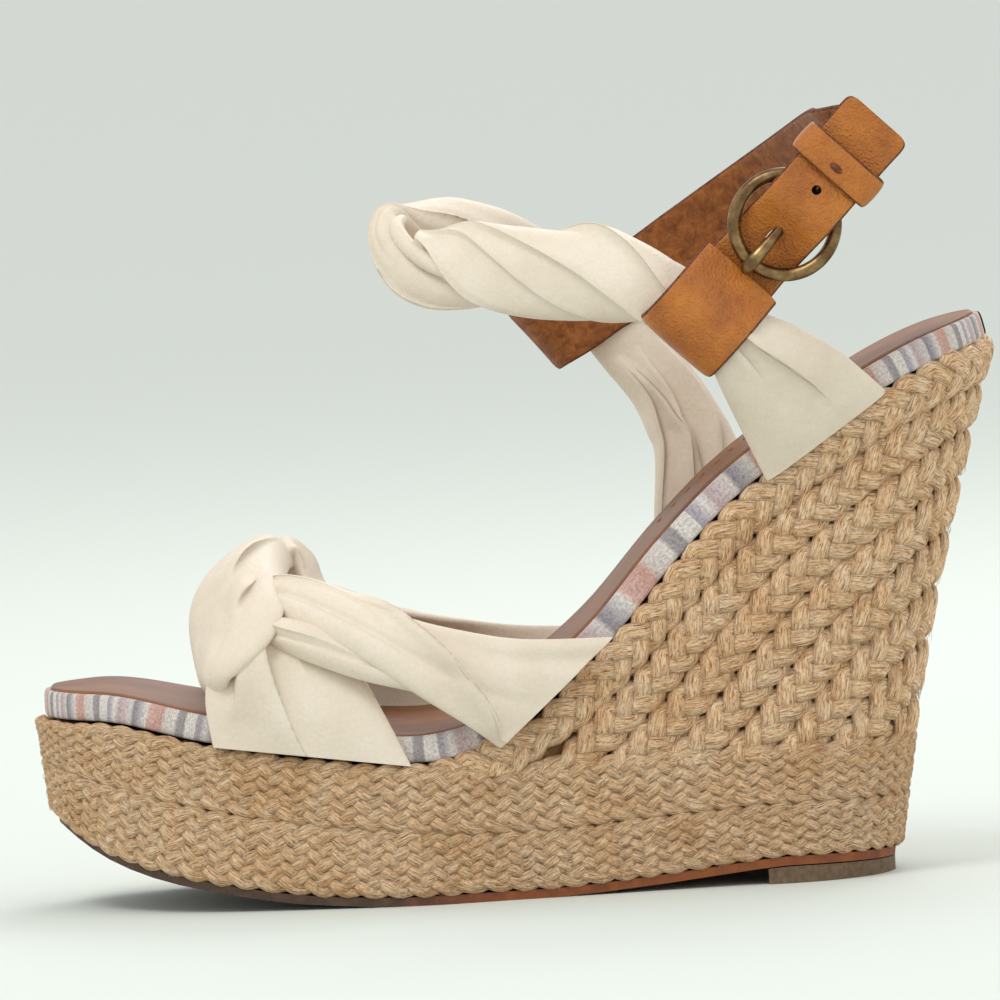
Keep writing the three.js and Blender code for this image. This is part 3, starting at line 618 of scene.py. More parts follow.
def row_path(line, inset, turns):
    start = first_true(0.36 * SHOE_LENGTH, SHOE_LENGTH, lambda reach: row_line(line, reach)[1] > HIDDEN_START)
    end = first_true(start, 1.3 * SHOE_LENGTH, lambda reach: (
        row_line(line, reach)[0] > back_of_heel(row_line(line, reach)[1]) - inset))
    reach = end + (start - end) * (1 - np.cos(turns * np.pi / 2))
    x, z = row_line(line, reach)
    side = np.where(turns < 0, -1.0, 1.0)
    return np.stack([x, side * half_width(x, z, side, inset), z], axis=-1)


def wedge_row(row):
    turns = np.linspace(-1, 1, 241)
    line = row - 0.5
    ribbon = Ribbon(row_path(row, 2.4, turns), row_path(row - 1, 2.4, turns),
                    row_path(line, 0, turns), row_path(line, 4, turns), ROW_PITCH)
    bm = plait(ribbon, 3, 18.0, 3.3, 4.4, 2.1, 0.62, row, forward=row == 1, depth=0.4, dip=2.6)
    cut = HIDDEN_START + 4
    bmesh.ops.bisect_plane(bm, geom=bm.verts[:] + bm.edges[:] + bm.faces[:], dist=1e-7,
                           plane_co=(0, 0, cut / 1000), plane_no=(0, 0, 1), clear_inner=True)
    bmesh.ops.holes_fill(bm, edges=[e for e in bm.edges if e.is_boundary], sides=0)
    seat(finish_mesh(f"jute_row_{row}", bm, [jute]), "sandal", "jute", f"plait_row_{row}")
    ribbon.wedge = True
    return ribbon


def band_path(share, inset, turns):
    angle = turns * 2 * np.pi
    side = np.where(angle < np.pi, -1.0, 1.0)
    reach = (1 + np.cos(angle)) / 2
    z = np.full_like(turns, PLATFORM_HEIGHT / 2)
    for _ in range(8):
        front, back = front_of_toe(z) + inset, back_of_heel(z) - inset
        x = front + (back - front) * reach
        z = jute_bottom(x) + (band_top(x) - jute_bottom(x)) * share(x)
    return np.stack([x, side * half_width(x, z, side, inset), z], axis=-1)


def platform_band(name, node, low, high, seed):
    turns = np.linspace(0, 1, 721)
    middle = lambda x: (low(x) + high(x)) / 2
    nominal = 14.6
    ribbon = Ribbon(band_path(low, 1.7, turns), band_path(high, 1.7, turns),
                    band_path(middle, 0, turns), band_path(middle, 4, turns), nominal)
    bm = plait(ribbon, 9, 50.0, 6.45, 2.95, 1.9, 0.5, seed, ring=True, depth=0.1)
    seat(finish_mesh(name, bm, [jute]), "sandal", "jute", node)
    ribbon.wedge = False
    return ribbon


ribbons = [wedge_row(row_number) for row_number in range(1, FULL_ROWS + 2)]
ribbons.append(platform_band("jute_band_lower", "band_lower", lambda x: 0 * x, band_seam, 21))
ribbons.append(platform_band("jute_band_upper", "band_upper", band_seam, lambda x: 0 * x + 1, 22))



def make_fuzz(count=1500):
    """Loose fibres that stand off the jute, each a thin bent thread."""
    rng = random.Random(11)
    data = bpy.data.curves.new("loose_fibres", "CURVE")
    data.dimensions = "3D"
    data.bevel_depth = 0.00005
    data.bevel_resolution = 0
    data.resolution_u = 2
    for _ in range(count):
        ribbon = rng.choice(ribbons)
        reach = rng.uniform(0.02, 0.98) * ribbon.length
        across = rng.uniform(-0.5, 0.5) * ribbon.width
        heading, length = rng.uniform(0, 2 * math.pi), rng.uniform(2, 5.5)
        lift = rng.uniform(0.2, 1.3)
        share = np.linspace(0, 1, 5)
        bend = rng.uniform(-1.5, 1.5)
        s = reach + length * (share - 0.5) * math.cos(heading) - bend * share ** 2 * math.sin(heading)
        t = across + length * (share - 0.5) * math.sin(heading) + bend * share ** 2 * math.cos(heading)
        out = 1.35 + 0.7 * lift * np.sin(np.pi * share * rng.uniform(0.6, 1)) - 0.7 * (1 - share)
        places = place_in_frame(ribbon.place(s, np.clip(t, -0.55 * ribbon.width, 0.55 * ribbon.width), out))
        if ribbon.wedge and places[:, 2].min() < 0.032:
            continue
        thread_line = data.splines.new("POLY")
        thread_line.points.add(4)
        for point, place in zip(thread_line.points, places):
            point.co = (*place, 1)
    data.materials.append(jute)
    obj = bpy.data.objects.new("loose_jute_fibres", data)
    bpy.context.scene.collection.objects.link(obj)
    seat(obj, "sandal", "jute")


make_fuzz()

# ---- Footbed ------------------------------------------------------------------------------


def footbed_place(x, y, height):
    slope = top_slope(x)
    return np.stack([x - height * np.sin(slope), y, top_edge(x) + height * np.cos(slope)], axis=-1)


def make_sock():
    """Padded leather sock: a crowned sheet with a rolled edge, closed underneath."""
    bm, u, v = grid(120, 48)
    inset = EDGE_INSET + 0.9
    ease = (1 - np.cos(np.pi * (0.012 + 0.976 * u))) / 2
    x = inset + (SHOE_LENGTH - 2 * inset) * ease
    around = 2 * np.pi * v
    share = -np.cos(around)
    side = np.where(share < 0, -1.0, 1.0)
    y = share * half_width(x, top_edge(x), side, inset)
    top = np.sin(around) >= 0
    near_edge = np.minimum(1 - np.abs(share), 12 * np.minimum(ease, 1 - ease))
    roll = np.sqrt(np.clip(1 - (1 - np.clip(near_edge / 0.07, 0, 1)) ** 2, 0, 1))
    height = np.where(top, FOOTBED_TOP - 1.4 + 1.6 * roll, FOOTBED_TOP - 1.9)
    shape_grid(bm, footbed_place(x, y, height), (0.22, 0.16))
    obj = finish_mesh("leather_sock", bm, [sock_leather])
    seat(obj, "sandal", "sock_leather", "sock_lining")


def make_binding():
    """Cloth wrapped round the footbed's edge, a little puckered."""
    bm, u, v = grid(520, 16)
    angle = 2 * np.pi * u
    side = np.where(angle < np.pi, -1.0, 1.0)
    around = 2 * np.pi * v
    rng = np.random.default_rng(5)
    waves = rng.uniform(30, 90, 6), rng.uniform(0, 6, 6)
    pucker = sum(np.sin(np.rint(rate) * angle + shift) for rate, shift in zip(*waves)) / 6
    inset = EDGE_INSET - 0.3 + 0.9 * (1 - np.sign(np.cos(around)) * np.abs(np.cos(around)) ** 0.5)
    inset = inset - 0.35 * pucker * np.maximum(0, np.cos(around))
    reach = (1 + np.cos(angle)) / 2
    x = inset + (SHOE_LENGTH - 2 * inset) * reach
    y = side * half_width(x, top_edge(x), side, inset)
    middle, tall = (FOOTBED_SEAT + FOOTBED_TOP - 0.4) / 2, (FOOTBED_TOP - 0.4 - FOOTBED_SEAT) / 2
    height = middle + tall * np.sign(np.sin(around)) * np.abs(np.sin(around)) ** 0.6
    shape_grid(bm, footbed_place(x, y, height), (0.56, 0.016))
    seat(finish_mesh("cloth_binding", bm, [striped_cotton]), "sandal", "striped_cotton", "footbed_binding")


make_sock()
make_binding()

# ---- Leather strips -----------------------------------------------------------------------


def fold(x, centre, tuck, rise, wide=0.11):
    """A pleat: the low-x side rides up and laps over the other by tuck. Across and out moves."""
    inside = np.clip((x - centre) / wide, -1, 1)
    reach = np.clip((x - centre + 0.55) / 0.45, 0, 1) ** 2
    lift = np.where(inside < 0, 1.0, (1 + np.cos(np.pi * inside)) / 2)
    return np.array([-tuck * np.sin(np.pi * inside), rise * reach * lift])


def fold_back(x, centre, tuck, rise, wide=0.11):
    """The same pleat, lapping the other way."""
    across, out = fold(-x, -centre, tuck, rise, wide)
    return np.array([-across, out])


def groove(x, centre, width, depth):
    return np.array([0 * x, -depth * np.exp(-((x - centre) / width) ** 2)])


def strip(edges, thickness, steps, crown=0.0, relief=None, square=5, flip=1, edge=0.985):
    """A closed strip of leather between two edge lines.

    edges is a list of (edge point, edge point); thickness and crown are values or lists along
    it; relief(u, x) gives moves across and out, where x runs from -1 to 1 across the strip.
    """
    bm, u, v = grid(*steps)
    heights = {vert: value for vert, value in zip(bm.verts, v)}
    for face in bm.faces:
        middle = sum(heights[vert] for vert in face.verts) / len(face.verts)
        on_edge = abs(math.cos(2 * math.pi * middle)) > edge
        face.material_index = 2 if on_edge else int(middle > 0.5)
    first = spline([pair[0] for pair in edges], u)
    last = spline([pair[1] for pair in edges], u)
    step = 0.004
    centre_line = [(np.array(a) + b) / 2 for a, b in edges]
    ahead = spline(centre_line, np.minimum(1, u + step)) - spline(centre_line, np.maximum(0, u - step))
    out = unit(np.cross(ahead, last - first)) * flip
    turn = 2 * np.pi * v
    x = -np.cos(turn)
    face = np.where(np.sin(turn) >= 0, 1.0, -1.0)

    def level(value):
        return spline(value, u)[:, 0] if np.ndim(value) else value

    height = face * level(thickness) / 2 * np.clip(1 - np.abs(x) ** square, 0, 1) ** 0.5
    height = height + level(crown) * (1 - x ** 2)
    across = x
    if relief is not None:
        moves = relief(u, x) * np.where(face > 0, 1, 0) * np.clip(1.0001 - np.abs(x) ** 8, 0, 1)
        across = x + moves[0]
        height = height + moves[1]
    points = (first + last) / 2 + (last - first) / 2 * across[:, None] + out * height[:, None]
    length = along(spline([pair[0] for pair in edges], np.linspace(0, 1, 60)))[-1]
    shape_grid(bm, points, (length / 1000, np.linalg.norm(np.subtract(*edges[0])) / 500))
    if relief is not None:
        for _ in range(3):
            bmesh.ops.smooth_vert(bm, verts=bm.verts, factor=0.5,
                                  use_axis_x=True, use_axis_y=True, use_axis_z=True)
    return bm


def make_outer_bight():
    front = strip(
        [((40.6, -40.2, 37.2), (84.8, -43.4, 31.2)), ((39.3, -39, 47), (80, -41.8, 41.5)),
         ((40.3, -36, 54), (74.3, -37.4, 52.4)), ((43.5, -30, 61), (69.3, -31, 59.5)),
         ((47, -22, 65), (64, -22, 66)), ((50, -14, 69), (61, -14, 70))],
        [2.4, 3.0, 3.8, 4.4, 6, 7], (110, 260), [0, 1.8, 2.8, 2.4, 1, 0],
        lambda u, x: (fold(x, -0.04 - 0.5 * u, 0.11, 2.8, 0.13) * np.clip(1.3 * u + 0.5, 0, 1)
                      + fold_back(x, -0.86 + 0.8 * u, 0.09, 2.1, 0.14) * np.clip(6 * u - 0.8, 0, 1)
                      + fold(x, 0.5 - 0.7 * u, 0.08, 1.5, 0.13) * np.clip(4 * u - 1.2, 0, 1)), flip=-1)
    lower = strip(
        [((57, -14, 62), (57, -13, 66)), ((53.5, -24, 61.4), (55, -20, 65.6)),
         ((52, -33, 60), (54, -29.5, 65.4)), ((60, -41, 56.8), (60, -36.6, 64.8)),
         ((74.3, -44.6, 51.4), (68, -39, 62.4)), ((89, -45.2, 47), (80, -43, 56.4)),
         ((98, -43.8, 40.8), (92, -43.4, 50))],
        [5, 5.4, 5.4, 5, 4.4, 3.6, 3], (110, 130), [0, 1.2, 1.8, 2, 1.6, 1, 0.5],
        lambda u, x: (fold_back(x, 0.25 - 0.5 * u, 0.1, 1.1, 0.16) * np.clip(2.2 - 3 * u, 0, 1)
                      + groove(x, -0.5 + 0.3 * u, 0.12, 0.8 * np.sin(np.pi * u))), flip=1)
    upper = strip(
        [((60, -12, 66), (61, -10, 69)), ((56, -20, 66), (58.6, -15, 70)),
         ((56, -32, 65.4), (61, -24, 71.4)), ((63, -40, 62), (70, -28.6, 69.6)),
         ((73.8, -46, 57), (82.5, -36.4, 64.6)), ((87.4, -47.4, 47.2), (97.6, -39, 60.8)),
         ((98.2, -45, 39.6), (111.7, -39.4, 58.4)), ((104.6, -42.2, 34.4), (131.3, -36.4, 57.8))],
        [5, 6, 6, 6, 5, 4, 3, 2.4], (150, 300), [0, 1.4, 2.4, 2.4, 2, 1.4, 0.8, 0.2],
        lambda u, x: (fold(x, np.clip(3.0 - 4.1 * u, -0.9, 1.2), 0.13, 2.8, 0.14)
                      * np.clip(5 * u - 2, 0, 1) * np.clip(7 - 6.6 * u, 0.4, 1)
                      + fold_back(x, 0.35 + 0.3 * u, 0.06, 0.9) * np.clip(1.8 - 2.6 * u, 0, 1)
                      + groove(x, -0.45 + 0.2 * u, 0.13, 1.0 * np.sin(np.pi * u))
                      + groove(x, 0.1 + 0.5 * u, 0.2, 0.9 * np.clip(2 * u - 0.9, 0, 1))), flip=1)
    return gather([front, lower, upper])


def make_inner_bight():
    wrap = strip(
        [((46, 20, 62), (64, 20, 64)), ((46.5, 9, 72.5), (62, 9, 72)),
         ((47, -2, 75.6), (59.5, -7, 75)), ((41, -9, 71.6), (58, -24, 72)),
         ((37.2, -13, 66), (57.6, -36.4, 67.4)), ((36.8, -20, 58.6), (54, -42.8, 60.8)),
         ((39, -29, 51), (45.8, -43.8, 53.6)), ((43, -30, 48.6), (45, -38, 50.6))],
        [4, 6, 7, 7.4, 7, 6, 4.6, 2.5], (150, 220), [1, 2.2, 3.2, 3.6, 3.4, 2.6, 1.4, 0],
        lambda u, x: (fold(x, 0.9 - 1.4 * u, 0.09, 2.0) * np.exp(-((u - 0.42) / 0.09) ** 2)
                      + fold(x, 1.5 - 1.7 * u, 0.08, 1.8) * np.exp(-((u - 0.56) / 0.07) ** 2)
                      + groove(x, 0.78 - 0.45 * u, 0.1, 1.4 * np.exp(-((u - 0.52) / 0.08) ** 2))
                      + groove(x, 0.1 + 0.2 * u, 0.14, 0.8 * np.exp(-((u - 0.7) / 0.12) ** 2))
                      + groove(x, -0.4, 0.3, 0.6)), square=3, flip=1)
    rear_top = strip(
        [((56, -1, 76), (57.5, -6, 75.8)), ((58.2, 5, 80), (60.6, -3, 77.4)),
         ((63.6, 9, 76), (61.6, -4, 72.4)), ((66, 8, 70), (62.5, -8, 68.6)), ((69, 6, 65), (65, -10, 65))],
        [4, 5, 5, 4.5, 4], (60, 60), [0, 1.5, 1.5, 1, 0], square=3, flip=1)
    front = strip(
        [((96, 41.4, 32.6), (40.6, 38, 37.2)), ((92, 41, 42), (40, 37.5, 47)),
         ((84, 37, 52), (41, 33, 56)), ((73, 27, 60), (45, 24, 63)), ((63, 14, 66), (47, 13, 67))],
        [2.4, 2.8, 3.4, 4.2, 6], (90, 180), [0, 1.2, 2.2, 2, 1],
        lambda u, x: (fold(x, 0.1 + 0.2 * u, 0.09, 1.8) * np.clip(1.3 * u + 0.45, 0, 1)
                      + fold(x, -0.5 + 0.3 * u, 0.07, 1.2) * np.clip(3 * u - 0.5, 0, 1)), flip=-1)
    rear = strip(
        [((129.5, 31.4, 55.2), (104.9, 36.8, 34.2)), ((112, 35.6, 55.6), (98.7, 39.2, 40.5)),
         ((98, 36, 57.5), (88, 41, 47.5)), ((82, 31, 61), (74, 36.6, 54)), ((70, 16, 66), (62, 27, 61)),
         ((62, 4, 68), (54, 12, 65))],
        [2.4, 2.8, 3.4, 4.2, 5, 5], (100, 180), [0.2, 0.8, 1.6, 2, 1.6, 1],
        lambda u, x: fold_back(x, 0.45 - 0.7 * u, 0.1, 1.8) * np.clip(2 - 2 * u, 0, 1), flip=-1)
    return gather([wrap, rear_top, front, rear])


def rope(stations, steps, valleys, depth, twist_start, twist_rate):
    """A twisted gathered strip: an oval section whose rolls lap over each other as they wind."""
    bm, u, v = grid(*steps)
    middle = spline([s[0] for s in stations], u)
    ahead = unit(spline([s[0] for s in stations], np.minimum(1, u + 0.01))
                 - spline([s[0] for s in stations], np.maximum(0, u - 0.01)))
    tall = unit(spline([s[1] for s in stations], u))
    tall = unit(tall - ahead * np.sum(tall * ahead, axis=1, keepdims=True))
    deep = np.cross(ahead, tall)
    half_tall = spline([s[2] for s in stations], u)[:, 0]
    half_deep = spline([s[3] for s in stations], u)[:, 0]
    turn = 2 * np.pi * v
    fade = np.clip(8 * u * (1 - u) + 0.25, 0, 1)
    dent, slip = np.zeros_like(u), np.zeros_like(u)
    for place, width, strength in valleys:
        wander = 0.18 * np.sin(7 * u + 3 * place)
        away = (turn - twist_start - place - wander - twist_rate * u + np.pi) % (2 * np.pi) - np.pi
        inside = np.clip(away / width, -1, 1)
        fall = np.where(inside < 0, 1.0, (1 + np.cos(np.pi * inside)) / 2)
        rise = np.clip((away + 1.3) / 1.2, 0, 1) ** 2
        dent = dent - strength * rise * fall
        slip = slip - 0.45 * strength * width * np.sin(np.pi * inside)
    outer = np.clip(0.75 - 0.5 * np.sin(turn) * deep[:, 1], 0.3, 1)
    swell = depth * dent * fade * outer
    turn = turn + slip * fade
    points = (middle + tall * (np.cos(turn) * (half_tall - depth * fade - swell))[:, None]
              + deep * (np.sin(turn) * (half_deep - depth * fade - swell))[:, None])
    shape_grid(bm, points, (0.1, 0.05))
    return bm


BUCKLE = np.array([*(sum(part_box("buckle_ring"), Vector()) / 2 * 1000)]) - (TOE_TIP_X, MIDDLE_Y, 0)
STRAP_ANGLE = math.radians(46)
ALONG_STRAP = np.array([math.cos(STRAP_ANGLE), 0, math.sin(STRAP_ANGLE)])
ACROSS_STRAP = np.array([-math.sin(STRAP_ANGLE), 0, math.cos(STRAP_ANGLE)])
OUTWARDS = np.array([0.0, -1, 0])


def by_buckle(x, y, z):
    """A place in the buckle's own frame: along the strap, across it, and out from the ankle."""
    return BUCKLE + ALONG_STRAP * x + ACROSS_STRAP * y + OUTWARDS * z


def at_edge(x, y, above):
    """A place at a height above the jute's top edge."""
    return (x, y, float(top_edge(np.array(float(x)))) + above)


def make_ankle_wrap():
    tab = strip(
        [((166.9, -29.4, 90.6), (194.6, -27.6, 109.4)), ((164.5, -32, 96), (190, -31, 114)),
         ((161, -35.5, 104), (183.5, -35, 120)), ((158, -38.5, 111), (175, -38, 125.5)),
         ((155, -40.4, 118), (168, -40.4, 129)), ((150, -40.6, 124.5), (161, -40.6, 134)),
         ((144, -38, 130), (152, -38, 139))],
        [2.4, 3.2, 4.6, 6.4, 7, 7, 6], (120, 220), [0, 1.4, 2.4, 2.8, 2.4, 1.6, 1],
        lambda u, x: (fold_back(x, 0.42 - 0.25 * u, 0.11, 2.0) * np.clip(2.4 * u - 0.2, 0, 1)
                      + fold(x, -0.35 + 0.3 * u, 0.07, 1.1) * np.clip(3 * u - 0.9, 0, 1)
                      + groove(x, -0.1, 0.2, 0.7 * u)), flip=-1)
    up = (0, 0, 1)
    twist = rope(
        [((91, -9, 146.3), up, 3.6, 3.4), ((97, -11, 144.2), up, 7.6, 5.4),
         ((104, -14, 142.3), up, 10.4, 7), ((113, -19, 140.8), up, 11.6, 8),
         ((123, -24.5, 139.4), up, 12, 8.2), ((132.5, -29.5, 138.4), up, 12.2, 8),
         ((141, -34, 136.4), (0.3, 0, 1), 11.2, 7.4), ((148, -37, 133), (0.6, 0, 0.8), 9.6, 6),
         ((156, -38, 127), ALONG_STRAP, 8, 4.6)],
        (240, 230), [(0, 0.2, 1), (1.0, 0.13, 0.45), (2.7, 0.22, 1), (4.3, 0.15, 0.6), (5.2, 0.12, 0.4)],
        3.0, 1.1, 4.4)
    loop = strip(
        [((112, -15, 133.5), (106, -17, 139)), ((103.6, -10.5, 131.8), (102.5, -14.5, 137.6)),
         ((95.5, -7, 131.2), (97.6, -12.5, 139)), ((89.6, -5, 132.6), (92.6, -10.5, 141.4)),
         ((85.4, -3, 135.6), (89.8, -9, 144)), ((83, -1, 140.4), (87.4, -7, 146.8)),
         ((82.4, 0, 145.4), (86, -5, 149.6)), ((83, 2, 149.8), (87, -1, 151.4)),
         ((84.8, 5, 153.2), (89, 3, 147)), ((91, 9, 154.4), (92, 7, 142)),
         ((98.5, 14, 154.8), (97, 12, 139)), ((105.5, 19, 153), (104, 19, 138)),
         ((112.5, 26, 150), (109, 27, 136)), ((120, 33, 145), (113, 34.5, 134)),
         ((127.5, 36.5, 138), (118, 37, 129)), ((133, 36.5, 131), (122.5, 36.5, 122)),
         ((138, 36, 126), (127, 36, 118))],
        [5, 5, 5, 4.6, 4.4, 4.4, 4.6, 5, 5.5, 6, 6, 6, 6, 6, 6, 6, 5.5], (360, 110),
        [0.5, 0.9, 1.2, 1.4, 1.4, 1.4, 1.2, 1, 1, 1.2, 1.6, 2, 2, 1.6, 1.2, 1, 1],
        lambda u, x: (fold(x, -0.1 + 0.5 * np.sin(9 * u), 0.1, 1.2, 0.16) * np.clip(4 * u - 1.6, 0, 1)
                      + fold(x, -0.55 + 0.4 * u, 0.08, 0.8, 0.16) * np.clip(5 * u, 0, 1)
                      * np.clip(3 - 5 * u, 0, 1)
                      + groove(x, 0.4 + 0.3 * np.sin(8 * u + 1), 0.15, 1.1 * np.clip(4 * u - 1, 0, 1))),
        square=3, flip=-1)
    roll = rope(
        [((88, -1, 151), up, 1.4, 1.4), ((86.6, -5, 149.3), up, 2, 1.8), ((89, -9.6, 145.6), up, 2, 1.8),
         ((93.5, -13, 142), up, 2, 1.8), ((98.5, -15.4, 139.6), up, 1.8, 1.6),
         ((104, -16.5, 137), up, 1.3, 1.2)], (60, 20), [], 0, 0, 0)
    inner = strip(
        [((127, 36, 120), (138, 36, 128)), ((132, 37, 113), (146, 36, 120)),
         ((138, 36, 105), (153, 35.5, 111)), ((141, 35, 98), (157, 34, 104.4)),
         ((142.6, 33.5, 92), (160, 32.5, 99)), (at_edge(141.6, 31, 7), at_edge(162, 30.6, 5)),
         (at_edge(142.8, 29.8, -0.8), at_edge(163, 29, -0.8))],
        [6, 6.4, 6.8, 6.8, 6, 4.4, 2.4], (110, 240), [1, 1.4, 1.6, 1.6, 1.4, 0.8, 0],
        lambda u, x: sum(fold(x, place + 0.2 * np.sin(4 * u + place * 9), 0.08, 1.3, 0.1)
                         for place in (-0.6, -0.15, 0.3, 0.7)) * np.clip(3 - 3 * u, 0.3, 1)
        * np.clip(7 * u - 1, 0, 1), flip=1)
    return gather([tab, twist, loop, roll, inner])


def soft_leather(name, bm, *nodes):
    obj = finish_mesh(name, bm, [cream_leather] * 3)
    seat(obj, "sandal", "cream_leather", *nodes)


soft_leather("outer_bight", make_outer_bight(), "vamp_bight_outer")
soft_leather("inner_bight", make_inner_bight(), "vamp_bight_inner")
soft_leather("ankle_leather", make_ankle_wrap(), "ankle_wrap")

# ---- Tan straps ---------------------------------------------------------------------------

TAN_THICKNESS = 2.0
RING_RADIUS = 11.3
WIRE_RADIUS = 1.5


def edges_in_buckle(path, widths):
    """Edge pairs of a strap that follows (x, z) places in the buckle's frame."""
    return [(by_buckle(x, -width / 2, z), by_buckle(x, width / 2, z)) for (x, z), width in zip(path, widths)]


def cut_away(obj, tools):
    for tool in tools:
        modifier = obj.modifiers.new("cut", "BOOLEAN")
        modifier.operation = "DIFFERENCE"
        modifier.solver = "EXACT"
        modifier.object = tool
    bpy.context.view_layer.update()
    graph = bpy.context.evaluated_depsgraph_get()
    mesh = bpy.data.meshes.new_from_object(obj.evaluated_get(graph))
    obj.modifiers.clear()
    obj.data = mesh
    for tool in tools:
        bpy.data.objects.remove(tool)


def peg(x, length, width, tall=16.0):
    """A long round-ended punch, square to the strap, at x in the buckle's frame."""
    bm = bmesh.new()
    bmesh.ops.create_cone(bm, cap_ends=True, segments=20, radius1=width / 2, radius2=width / 2, depth=tall)
    for vert in bm.verts:
        stretch = (length - width) / 2 * np.sign(vert.co.x) if abs(vert.co.x) > 1e-6 else 0
        vert.co = place_in_frame([by_buckle(x + vert.co.x + stretch, vert.co.y, vert.co.z)])[0]
    bmesh.ops.recalc_face_normals(bm, faces=bm.faces)
    return finish_mesh("punch", bm, [cut_edge])


def tan_strap(name, pieces, body, node, punches=(), finish=None):
    bm = gather(pieces)
    obj = finish_mesh(name, bm, finish or [tan_leather, flesh_side, cut_edge])
    if punches:
        cut_away(obj, [peg(*punch) for punch in punches])
    obj.data.polygons.foreach_set("use_smooth", [True] * len(obj.data.polygons))
    modifier = obj.modifiers.new("edges", "EDGE_SPLIT")
    modifier.split_angle = math.radians(50)
    seat(obj, body, "tan_leather", node)
    return obj


BILLET = [(-14.6, -1.0), (-18, 1.4), (-22.6, 4.3), (-27.8, 5.4), (-32.4, 3.8), (-35.6, 0), (-36, -4.2),
          (-32.5, -7), (-27, -7.6), (-21.5, -6.6), (-16.5, -4.2), (-11.3, -3.2), (-7.5, -2.9),
          (-4, -1.7), (0, 1), (3, 3.6), (6, 4.9), (9, 5.1), (12, 4.7), (16, 3.3), (20, 2.7), (25, 2.6),
          (30.6, 2.8), (31.9, 2.8)]
BILLET_WIDTHS = [21] * 9 + [19, 18, 17.4] + [17.3] * 9 + [17.4, 17.2, 13.0]


def make_billet():
    def creases(u, x):
        ripple = 0.1 * np.sin(110 * u + 5 * np.sin(4 * x))
        return np.array([0 * x, ripple * np.clip(4 * u - 2, 0, 1)])

    strap = strip(edges_in_buckle(BILLET, BILLET_WIDTHS), TAN_THICKNESS, (260, 40), 0.25, creases,
                  square=14, flip=-1, edge=0.965)
    tan_strap("billet_leather", [strap], "sandal", "billet_strap", [(-3.9, 3.8, 2.6), (10.6, 2.2, 2.2)],
              [tan_leather, tan_leather, cut_edge])


def make_buckle_strap():
    far = [((176, 26.5, 147), (165.5, 26.5, 160.3)), ((181.5, 16, 151.2), (171, 16, 164.6)),
           ((186, 4, 155.4), (175.5, 4, 168.4)), ((189.6, -9, 158.6), (178.6, -9, 171.3)),
           ((192, -22, 161), (180.4, -22, 173)), ((192.6, -33, 161.6), (181, -33, 173.4))]
    fold = [(28, -1.8), (24, -1.1), (18, -1.1), (12.5, -2.2), (8.6, -2.5), (5.6, -1.9), (4.7, 0), (5.6, 1.9),
            (8.6, 2.5), (12.5, 2.2), (16, 0.9), (20, 0.7)]
    fold_edges = [(by_buckle(x, -8.1, z), by_buckle(x, 8.1, z)) for x, z in fold]
    start = [((142, 40, 128), (131, 40, 140)), ((139, 41.6, 126.6), (127, 41.6, 140.4)),
             ((134, 42.4, 124), (121, 42.4, 138.4)), ((127, 42, 117.6), (115.4, 42, 131.4)),
             ((122.6, 39, 113.6), (111.4, 39, 127)), ((124, 33.4, 114.6), (112, 33.4, 128.8)),
             ((130, 31.2, 118), (118, 31.2, 132)), ((138, 32, 123), (126, 32, 137)),
             ((147, 36.5, 126.4), (135.4, 36.5, 140)), ((158, 36.6, 133.9), (147, 36.6, 147.5)),
             ((168, 33.2, 141.2), (157.6, 33.2, 154.7))]
    body = [(tuple(a), tuple(b)) for a, b in start + far] + fold_edges
    strap = strip(body, TAN_THICKNESS, (300, 40), 0.2, square=14, flip=-1, edge=0.965)
    tan_strap("buckle_strap_leather", [strap], "sandal", "buckle_strap", [(8.7, 10.6, 3.4, 12.0)])


def make_keeper():
    half_wide, low, high = 9.9, -2.6, 5.9
    outline = []
    for turn in np.linspace(0, 2 * np.pi, 25)[:-1]:
        y = half_wide * np.sign(np.cos(turn)) * abs(np.cos(turn)) ** 0.45
        z = (low + high) / 2 + (high - low) / 2 * np.sign(np.sin(turn)) * abs(np.sin(turn)) ** 0.45
        outline.append((y, z))
    outline.append(outline[0])
    edges = [(by_buckle(18 - 3.8, y, z), by_buckle(18 + 3.8, y, z)) for y, z in outline]
    strap = strip(edges, 1.5, (144, 28), 0.3, square=8, flip=1, edge=0.86)
    tan_strap("keeper_leather", [strap], "keeper", "strap_keeper")


def make_keeper_mark():
    """The small oval pressed into the keeper."""
    bm = bmesh.new()
    bmesh.ops.create_uvsphere(bm, u_segments=20, v_segments=10, radius=1)
    for vert in bm.verts:
        place = by_buckle(17.2 + 0.9 * vert.co.y, 1.7 * vert.co.x, 6.9 + 0.3 * vert.co.z)
        vert.co = place_in_frame([place])[0]
    bmesh.ops.recalc_face_normals(bm, faces=bm.faces)
    seat(finish_mesh("keeper_mark", bm, [cut_edge]), "keeper", "tan_leather")


make_keeper_mark()
make_billet()
make_buckle_strap()
make_keeper()

# ---- Buckle -------------------------------------------------------------------------------


def tube(stations, steps, uv_length=0.03):
    """A round rod through (place, radius) stations in the buckle's frame."""
    bm, u, v = grid(*steps)
    places = np.array([by_buckle(*place) for place, radius in stations])
    middle = spline(places, u)
    ahead = unit(spline(places, np.minimum(1, u + 0.01)) - spline(places, np.maximum(0, u - 0.01)))
    side = unit(np.cross(ahead, ACROSS_STRAP) * 1.0)
    radius = spline([radius for place, radius in stations], u)
    turn = (2 * np.pi * v)[:, None]
    shape_grid(bm, middle + (side * np.cos(turn) + ACROSS_STRAP * np.sin(turn)) * radius, (uv_length, 0.01))
    return bm


